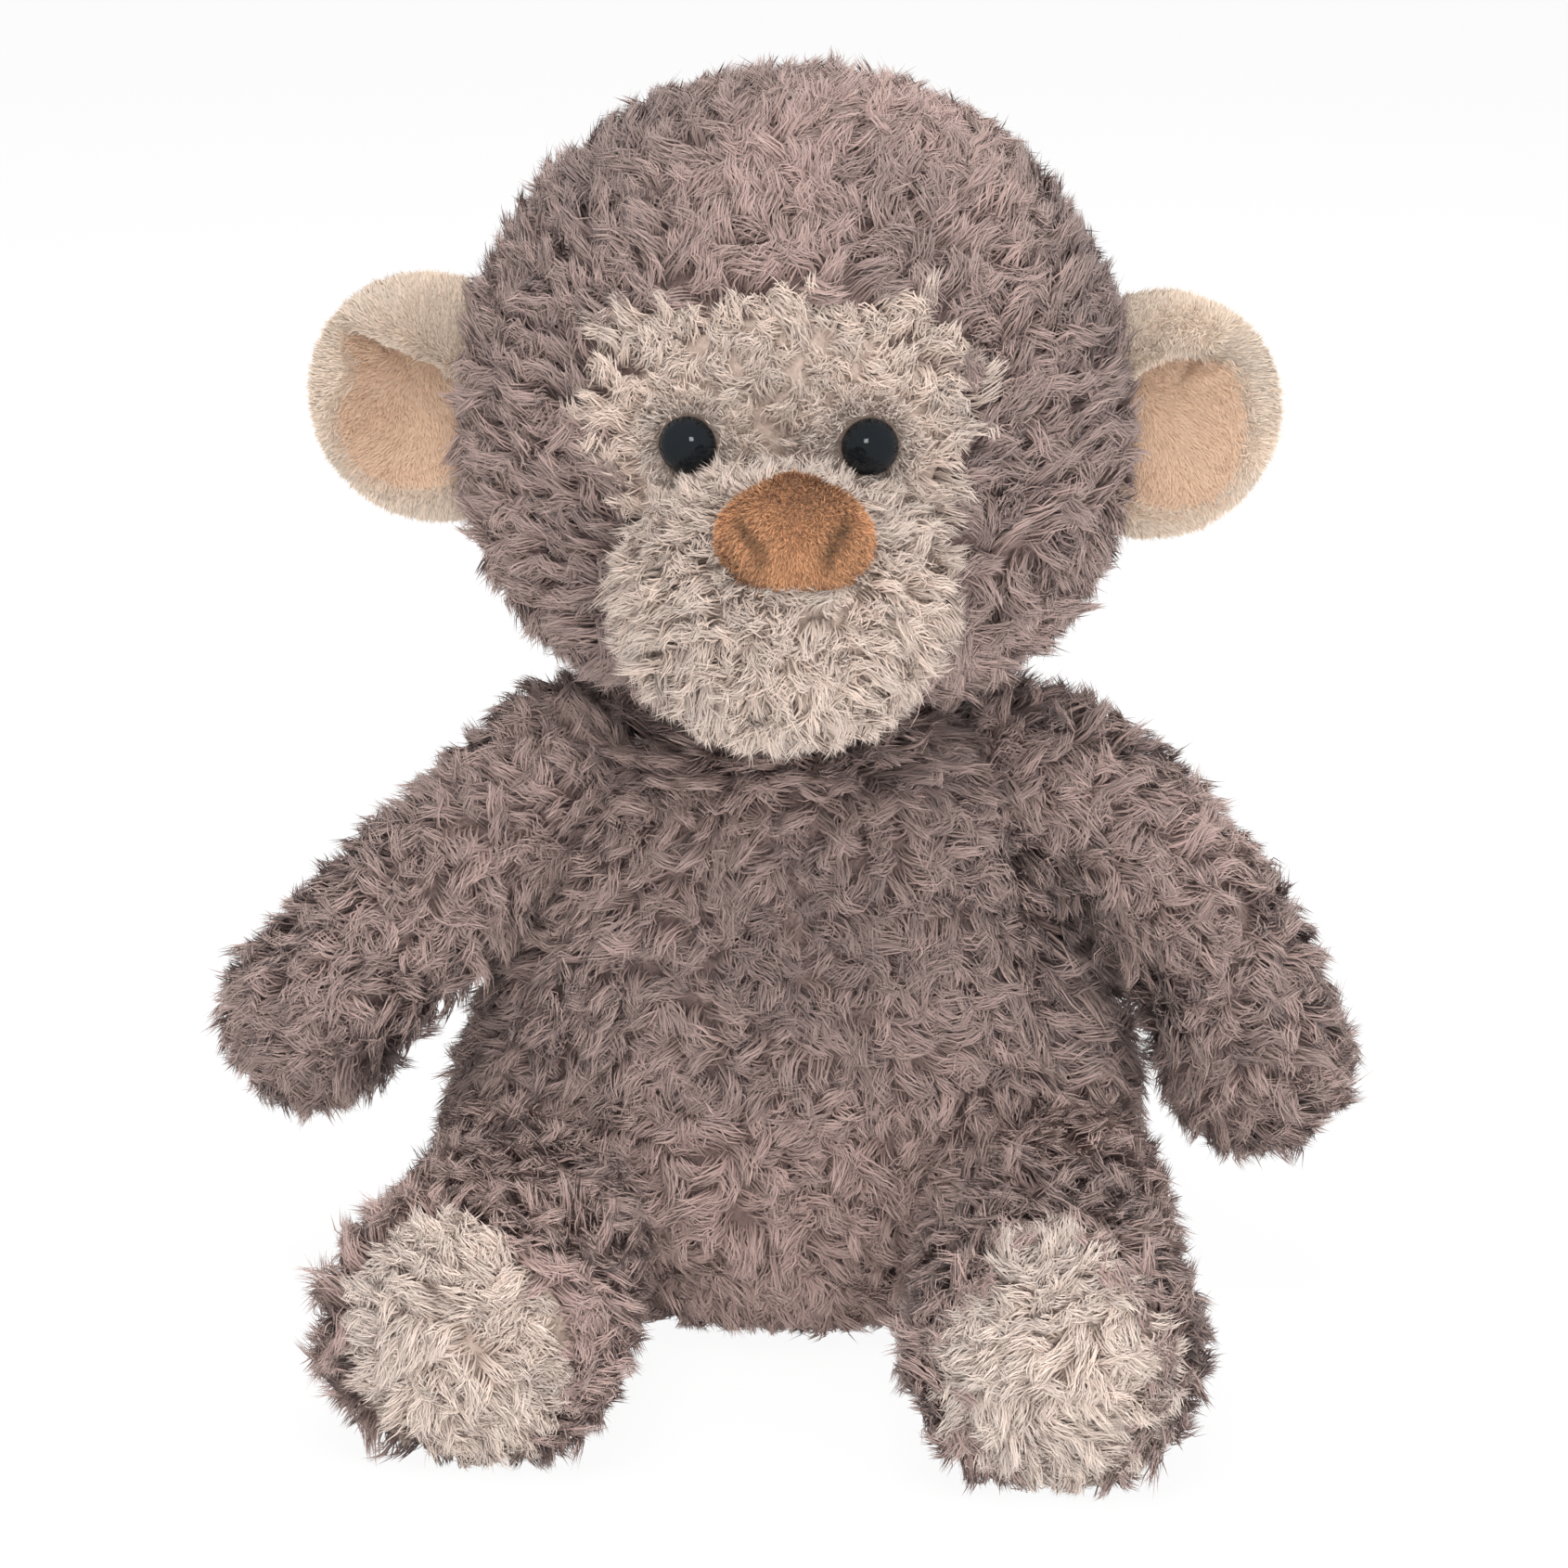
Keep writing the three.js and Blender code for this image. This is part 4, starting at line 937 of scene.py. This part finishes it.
def head_pile():
    """Locks that run up over the crown and down over the cheeks, longer in some tufts."""
    p, n, _ = lock_roots(FORMS["head"], LOCK_SPACING, seed=12)
    p, n = keep(~FORMS["muzzle"].contains(p, 5) & ~on_face(p) & (p[:, 2] > 143), p, n)
    rise = np.clip((p[:, 2] - 185) / 40, -1, 1)
    flow = np.stack([np.sign(p[:, 0]) * 0.25, np.full(len(p), 0.35), rise], 1)
    nap = flow + drift(p, scale=18, seed=5) * 0.45
    tufts = drift(p, scale=7, seed=27)[:, 0].clip(-1.5, 1.5)
    size = 1 + 0.3 * ramp(p[:, 2], 170, 150) + 0.16 * tufts
    grow_locks("head_pile", "head", p, n, nap, HEAD_LOOK, seed=23, size=size)


IN_VIEW = np.array([1, 0, 1])  # leaves out how far back a place lies


def eye_gaps(p):
    """The way from each eye's middle in the view from the front, and how far it is."""
    gaps = [(p - eye_centre(side)) * IN_VIEW for side in SIDES]
    return [(gap, norm(gap)) for gap in gaps]


def clear_of_eyes(p, nap, room):
    """Keeps fibres off the eyes, and combs the ones beside them away."""
    good = np.ones(len(p), bool)
    for gap, distance in eye_gaps(p):
        good &= distance > EYE["radius"] + room
        push = np.clip(1 - (distance - EYE["radius"]) / 8, 0, 1)[:, None]
        nap = nap * (1 - push) + unit(gap) * push * 1.5
    return good, nap


FACE_BRIDGE = np.array([FACE_MIDDLE, -60, 201])
NOSE_SPOT = np.array([NOSE_MIDDLE, -92, 200])
NOSE_ROOM = np.array([15.5, 15, 12])  # half sizes of the place that the nose covers
COLLAR_REACH, COLLAR_RISE, COLLAR_LIFT = (27, 18), (176, 184), 2.2  # raised locks beside the nose
EYE_RIM_REACH, EYE_RIM_DEPTH = (0.2, 4.5), 3.6


def face_pile():
    """Locks that spread from the bridge of the nose, short beside the eyes and lighter there with painted
    light against the shade of the sockets.
    """
    p, n, _ = lock_roots(FORMS["head"], FACE_SPACING, seed=13)
    p, n = keep(on_face(p) & ~FORMS["muzzle"].contains(p, 3), p + n * 0.7, n)
    nap = unit(p - FACE_BRIDGE) * 0.9 + drift(p, scale=12, seed=7) * 0.7 + UP * 0.1
    good, nap = clear_of_eyes(p, nap, room=1.6)
    p, n, nap = keep(good, p, n, nap)
    edge = face_share(p[:, 0], p[:, 2])
    near = np.min([distance for _, distance in eye_gaps(p)], 0)
    size = (0.7 + 0.4 * np.clip((edge - 0.6) / 0.4, 0, 1)) * np.clip((near - 1) / 10, 0.55, 1)
    # Painted light: locks near the eyes are lighter, to lift the shade round the sockets
    tone_and_painted_light = 0.9 * ramp(near, 17, 9)
    grow_locks("face_pile", "head", p, n, nap, PALE_LOOK, seed=24, size=size, tone_and_painted_light=tone_and_painted_light)


def muzzle_pile():
    """Locks that spread from the nose, short beside it, with a raised collar against its flank."""
    p, n, _ = lock_roots(FORMS["muzzle"], MUZZLE_SPACING, seed=14)
    off_nose = norm((p - NOSE_SPOT) / NOSE_ROOM) > 0.9
    p, n = keep(~FORMS["head"].contains(p, 5) & off_nose & (p[:, 1] < -34), p, n)
    nap = unit(p - (NOSE_SPOT + [0, 12, 0])) * 1.5 + drift(p, scale=12, seed=9) * 0.35
    good, nap = clear_of_eyes(p, nap, room=2.6)
    p, n, nap = keep(good, p, n, nap)
    z = p[:, 2]
    distance = norm(p - NOSE_SPOT)
    collar = ramp(distance, *COLLAR_REACH) * ramp(z, *COLLAR_RISE)
    p = p + n * (collar * (COLLAR_LIFT + ramp(z, 190, 198)))[:, None]
    nap = unit(nap) * (1 - 0.5 * collar)[:, None] + NOSE_OUT * (0.9 * collar)[:, None]
    size = np.clip(0.45 + (distance - 15) / 34, 0.45, 1.1) + 0.1 * collar
    grow_locks("muzzle_pile", "head", p, n, nap, MUZZLE_LOOK, seed=25, size=size)


def eye_rim_pile(side, seed):
    """Short fibres round an eye, some of which cross its rim."""
    rng = np.random.default_rng(seed)
    away = leaning(rng.uniform(0, TURN, EYE_RIM_FIBRES), np.array([1.0, 0, 0]), UP)
    distance = EYE["radius"] + rng.uniform(*EYE_RIM_REACH, EYE_RIM_FIBRES)
    roots = eye_centre(side) + away * distance[:, None]
    roots[:, 1] = FORMS["head"].front(roots[:, 0], roots[:, 2], EYE_RIM_DEPTH)
    normals = unit(away * 0.15 + [0, -1.0, 0])
    strands = short_pile(roots, normals, away, EYE_RIM_LOOK, rng)
    add_pile(f"{side}_eye_rim_pile", "head", strands, EYE_RIM_LOOK, rng)


def limb_ahead(form, share):
    """The way from a limb's root to its tip."""
    zero = np.zeros(len(share))
    after, before = (form.points(np.clip(share + step, 0, 1), zero) for step in (0.01, -0.01))
    return unit(after - before)


def arm_pile(side, seed):
    form = FORMS[f"{side}_arm"]
    p, n, share = lock_roots(form, LOCK_SPACING, seed)
    p, n, share = keep(~FORMS["torso"].contains(p, COVERED), p, n, share)
    nap = limb_ahead(form, share) * 0.8 + drift(p, 16, seed) * 0.7
    grow_locks(f"{side}_arm_pile", f"{side}_arm", p, n, nap, BROWN_LOOK, seed)


def leg_pile(side, seed):
    """Brown locks on the leg, which stand out on the right foot's outer side, and pale ones on the sole."""
    joint, ankle = leg_line(side)
    ahead = unit(ankle - joint)
    radius = np.array([SOLE_RADIUS["across"], SOLE_RADIUS["across"], SOLE_RADIUS["up"]])
    body = f"{side}_leg"

    def sole_share(p):
        """Below 1 on the sole and above 1 off it, and the way out from the leg's middle line."""
        along = (p - joint) @ ahead
        away = p - joint - along[:, None] * ahead
        share = norm((away - [SOLE_SHIFT[side], 0, 0]) / radius)
        return share + 9 * (along < LEG_LENGTH), unit(away)

    p, n, _ = lock_roots(FORMS[body], LOCK_SPACING, seed)
    share, away = sole_share(p)
    off_sole = (p[:, 2] > LOWEST_ROOT) & (share > 1)
    p, n, away = keep(~FORMS["torso"].contains(p, COVERED) & off_sole, p, n, away)
    outer = smooth_step(-away[:, 0] * 1.6) * (side == "right") * ramp((p - joint) @ ahead, *OUTER_TUFTS)
    nap = ahead * (0.9 - 0.5 * outer)[:, None] + drift(p, 16, seed) * 0.7 + away * (0.3 + outer)[:, None]
    p = p + away * (1.4 * outer)[:, None]
    size = 1 + 0.15 * outer
    # Painted light: the leg's brown locks are made a little lighter
    grow_locks(f"{body}_pile", body, p, n, nap, BROWN_LOOK, seed, size, LEG_PAINTED_LIGHT, LOWEST_STRAND)
    p, n, _ = lock_roots(FORMS[body], SOLE_SPACING, seed + 1)
    share, away = sole_share(p)
    p, n, share, away = keep((share < 1) & (p[:, 2] > LOWEST_ROOT), p + n * 0.7, n, share, away)
    nap = drift(p, 14, seed + 2) * 0.9 + away * 0.55
    size = 1.1 - 0.3 * smooth_step(share * 2 - 1)
    grow_locks(f"{side}_sole_pile", body, p, n, nap, SOLE_LOOK, seed + 5, size, SOLE_TONE[side],
               LOWEST_STRAND)


def velvet(name, surface, body, look, seed, shares, flow, tint_and_painted_light=None):
    """Short pile on a surface between two shares, combed along flow, its shade shifted by an optional tint
    and painted light.
    """
    rng = np.random.default_rng(seed)
    p, n, share = surface.scatter(int(look["area"] * VELVET_DENSITY), rng, *shares)
    patch = drift(p, 9, seed)
    look = look | {"shade": patch[:, 1] * 0.5 + (0 if tint_and_painted_light is None else tint_and_painted_light(p, share))}
    strands = short_pile(p - n * 0.3, n, flow(p) + patch * 0.5, look, rng)
    add_pile(name, body, strands, look, rng)


def paler_edge(p, share):
    """A shade that turns the peach velvet cream at the panel's edge."""
    return 2.9 * smooth_step((share - 0.4) / 0.1) - 1.5


def ear_pile(side, back, front, seed):
    body = f"{side}_ear"
    centre = np.array(EAR_JOINT[side]) + [SIDES[side] * EAR_OUT, 0, 0]

    def outwards(p):
        return unit((p - centre) * [1, 0.2, 1]) + [0, 0.8, -0.25]

    def downwards(p):
        return unit((p - centre) * IN_VIEW) * 0.4 + DOWN * 0.8

    velvet(f"{body}_back_pile", back, body, EAR_BACK_LOOK, seed, (0.25, 1), outwards)
    velvet(f"{body}_front_pile", front, body, EAR_FRONT_LOOK, seed + 1, (0, 0.5), downwards, paler_edge)


def nose_pile(surface):
    def flow(p):
        return unit((p - NOSE_BASE) * IN_VIEW) * 0.5 + DOWN * 0.9

    # Painted light: a painted highlight at each corner of the nose, and painted shade in the nostril folds
    def tint_and_painted_light(p, share):
        u, v = p[:, 0] - NOSE_BASE[0], (p - NOSE_BASE) @ NOSE_UP
        corner = np.exp(-(((np.abs(u) - 14) / 3) ** 2) - (v / 3) ** 2)
        return 1.6 * corner - 3.5 * nostril_fold(u, v)

    velvet("nose_pile", surface, "head", NOSE_LOOK, 71, (0.0, 0.6), flow, tint_and_painted_light)


# Skins below the pile


SEAM_GAP = 0.15


def above_floor(p):
    p[:, 2] = np.maximum(p[:, 2], FLOOR_CLEARANCE)
    return p


def add_skin(name, surface, body, slot, node, depth=0.0, rows=56, columns=72, limit=None):
    """What shows between the locks: one closed skin over the solid of one node."""
    skin = closed_mesh(name, surface, depth, rows, columns, limit)
    skin.data.materials.append(MATERIALS[slot])
    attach(skin, body)
    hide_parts(node)


def seam_limit(choose, seam):
    """Keeps a torso panel on its own side of the side seam."""

    def limit(p):
        p = above_floor(p)
        p[:, 1] = choose(p[:, 1], seam)
        return p

    return limit


def add_skins():
    brown, pale = "brown_plush", "pale_plush"
    torso, head, muzzle = FORMS["torso"], FORMS["head"], FORMS["muzzle"]
    for label, choose, gap in (("front", np.minimum, -SEAM_GAP), ("back", np.maximum, SEAM_GAP)):
        add_skin(f"torso_skin_{label}", torso, "torso", brown, f"torso_cover_{label}", CLOTH_DEPTH,
                 limit=seam_limit(choose, SIDE_SEAM_BACK + gap))
    add_skin("neck_skin", FORMS["neck"], "neck", brown, "neck_stuffing", 1.0)
    add_skin("head_skin", head, "head", brown, "head_cover", CLOTH_DEPTH)
    add_skin("face_skin", face_panel_form(), "head", pale, "face_panel")
    add_skin("muzzle_skin", muzzle, "head", pale, "muzzle_cover", CLOTH_DEPTH)
    for side in SIDES:
        for limb, filled in ((f"{side}_arm", 0.6), (f"{side}_leg", 0.7)):
            add_skin(f"{limb}_skin", FORMS[limb], limb, brown, f"{limb}_cover", CLOTH_DEPTH,
                     limit=above_floor)
        add_skin(f"{side}_sole_skin", sole_panel_form(side), f"{side}_leg", pale, f"{side}_sole",
                 limit=above_floor)


add_skins()
torso_pile()
neck_pile()
head_pile()
face_pile()
muzzle_pile()
nose = nose_form()
add_skin("nose_skin", nose, "head", "nose_cloth", "nose_cover", rows=60, columns=64)
nose_pile(nose)
for number, side in enumerate(SIDES):
    arm_pile(side, seed=31 + 10 * number)
    leg_pile(side, seed=51 + 10 * number)
    eye_rim_pile(side, seed=81 + number)
    dome = eye_form(side)
    add_skin(f"{side}_eye_dome", dome, "head", "eye", f"{side}_eye", rows=84, columns=48)
    ear, back, front = f"{side}_ear", ear_back_form(side), ear_front_form(side)
    add_skin(f"{ear}_back_skin", back, ear, "cream_minky", f"{ear}_back", rows=90, columns=80)
    add_skin(f"{ear}_front_skin", front, ear, "peach_minky", f"{ear}_front", rows=50, columns=64)
    ear_pile(side, back, front, seed=91 + 3 * number)

for name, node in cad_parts.items():
    for inner in ("stuffing", "washer"):
        if inner in name:
            node.data.materials.clear()
            node.data.materials.append(MATERIALS[inner])


# Camera, floor and light

TARGET = Vector((-2.5, 0, 118)) * MM
CAMERA_RISE, CAMERA_DISTANCE = math.radians(18), 0.95
LENS, SENSOR = 97.1, 36
LAMPS = {
    "key_light": ((-0.15, -0.55, 1.5), (0.9, 0.9), 19),
    "fill_light": ((1.1, -0.9, 0.7), (0.9, 0.9), 8),
    "low_light": ((-0.2, -1.5, 0.12), (1.4, 0.2), 3),
    "bounce_light": ((0.0, -0.45, 0.02), (0.5, 0.2), 1),
    "back_light": ((0.2, 1.0, 1.2), (1.0, 0.6), 13),
    "spark_light": ((0.0, -1.2, 0.6), (0.26, 0.26), 2),
}  # place, width and height in metres, and watts
SHOWS_IN_GLOSS = "spark_light"
LIGHT_AROUND, SEEN_WHITE = 0.45, 1.0
FLOOR_SIZE, FLOOR_DROP = 12, 0.3 * MM
FLOOR_WHITENESS = 0.94  # how much of the floor that the camera sees is plain white


def add_camera():
    data = bpy.data.cameras.new("camera")
    data.lens = LENS
    data.sensor_width = SENSOR
    camera = new_object("camera", data)
    away = Vector((0, -math.cos(CAMERA_RISE), math.sin(CAMERA_RISE)))
    camera.location = TARGET + CAMERA_DISTANCE * away
    camera.rotation_euler = (math.radians(90) - CAMERA_RISE, 0, 0)
    scene.camera = camera


def area_lamp(name, place, size, power):
    lamp = bpy.data.lights.new(name, "AREA")
    lamp.shape = "RECTANGLE"
    lamp.size, lamp.size_y = size
    lamp.energy = power
    obj = new_object(name, lamp)
    obj.location = Vector(place)
    obj.rotation_euler = (TARGET - obj.location).to_track_quat("-Z", "Y").to_euler()
    obj.visible_glossy = name == SHOWS_IN_GLOSS
    obj.visible_camera = False


def show_camera(tree, plain, seen, output, share):
    """Mixes a second shader in for what the camera sees straight on."""
    nodes, links = tree.nodes, tree.links
    path, mix = nodes.new("ShaderNodeLightPath"), nodes.new("ShaderNodeMixShader")
    amount = nodes.new("ShaderNodeMath")
    amount.operation = "MULTIPLY"
    amount.inputs[1].default_value = share
    links.new(path.outputs["Is Camera Ray"], amount.inputs[0])
    links.new(amount.outputs[0], mix.inputs["Fac"])
    links.new(plain.outputs[0], mix.inputs[1])
    links.new(seen.outputs[0], mix.inputs[2])
    links.new(mix.outputs[0], nodes[output].inputs["Surface"])


def add_world():
    world = bpy.data.worlds.new("studio")
    scene.world = world
    world.use_nodes = True
    nodes = world.node_tree.nodes
    around, white = nodes["Background"], nodes.new("ShaderNodeBackground")
    for shader, strength in ((around, LIGHT_AROUND), (white, SEEN_WHITE)):
        set_inputs(shader, {"Color": (1, 1, 1, 1), "Strength": strength})
    show_camera(world.node_tree, around, white, "World Output", 1)


def add_floor():
    bpy.ops.mesh.primitive_plane_add(size=FLOOR_SIZE, location=(0, 0, -FLOOR_DROP))
    floor = bpy.context.object
    floor.name = "floor"
    material, nodes, _, shader = new_material("floor_paper", 0.9, 0)
    set_inputs(shader, {"Base Color": (0.9, 0.9, 0.9, 1)})
    glow = nodes.new("ShaderNodeEmission")
    show_camera(material.node_tree, shader, glow, "Material Output", FLOOR_WHITENESS)
    floor.data.materials.append(material)
    floor.visible_glossy = False


add_camera()
for name, lamp in LAMPS.items():
    area_lamp(name, *lamp)
add_world()
add_floor()
scene.view_settings.view_transform = "Standard"
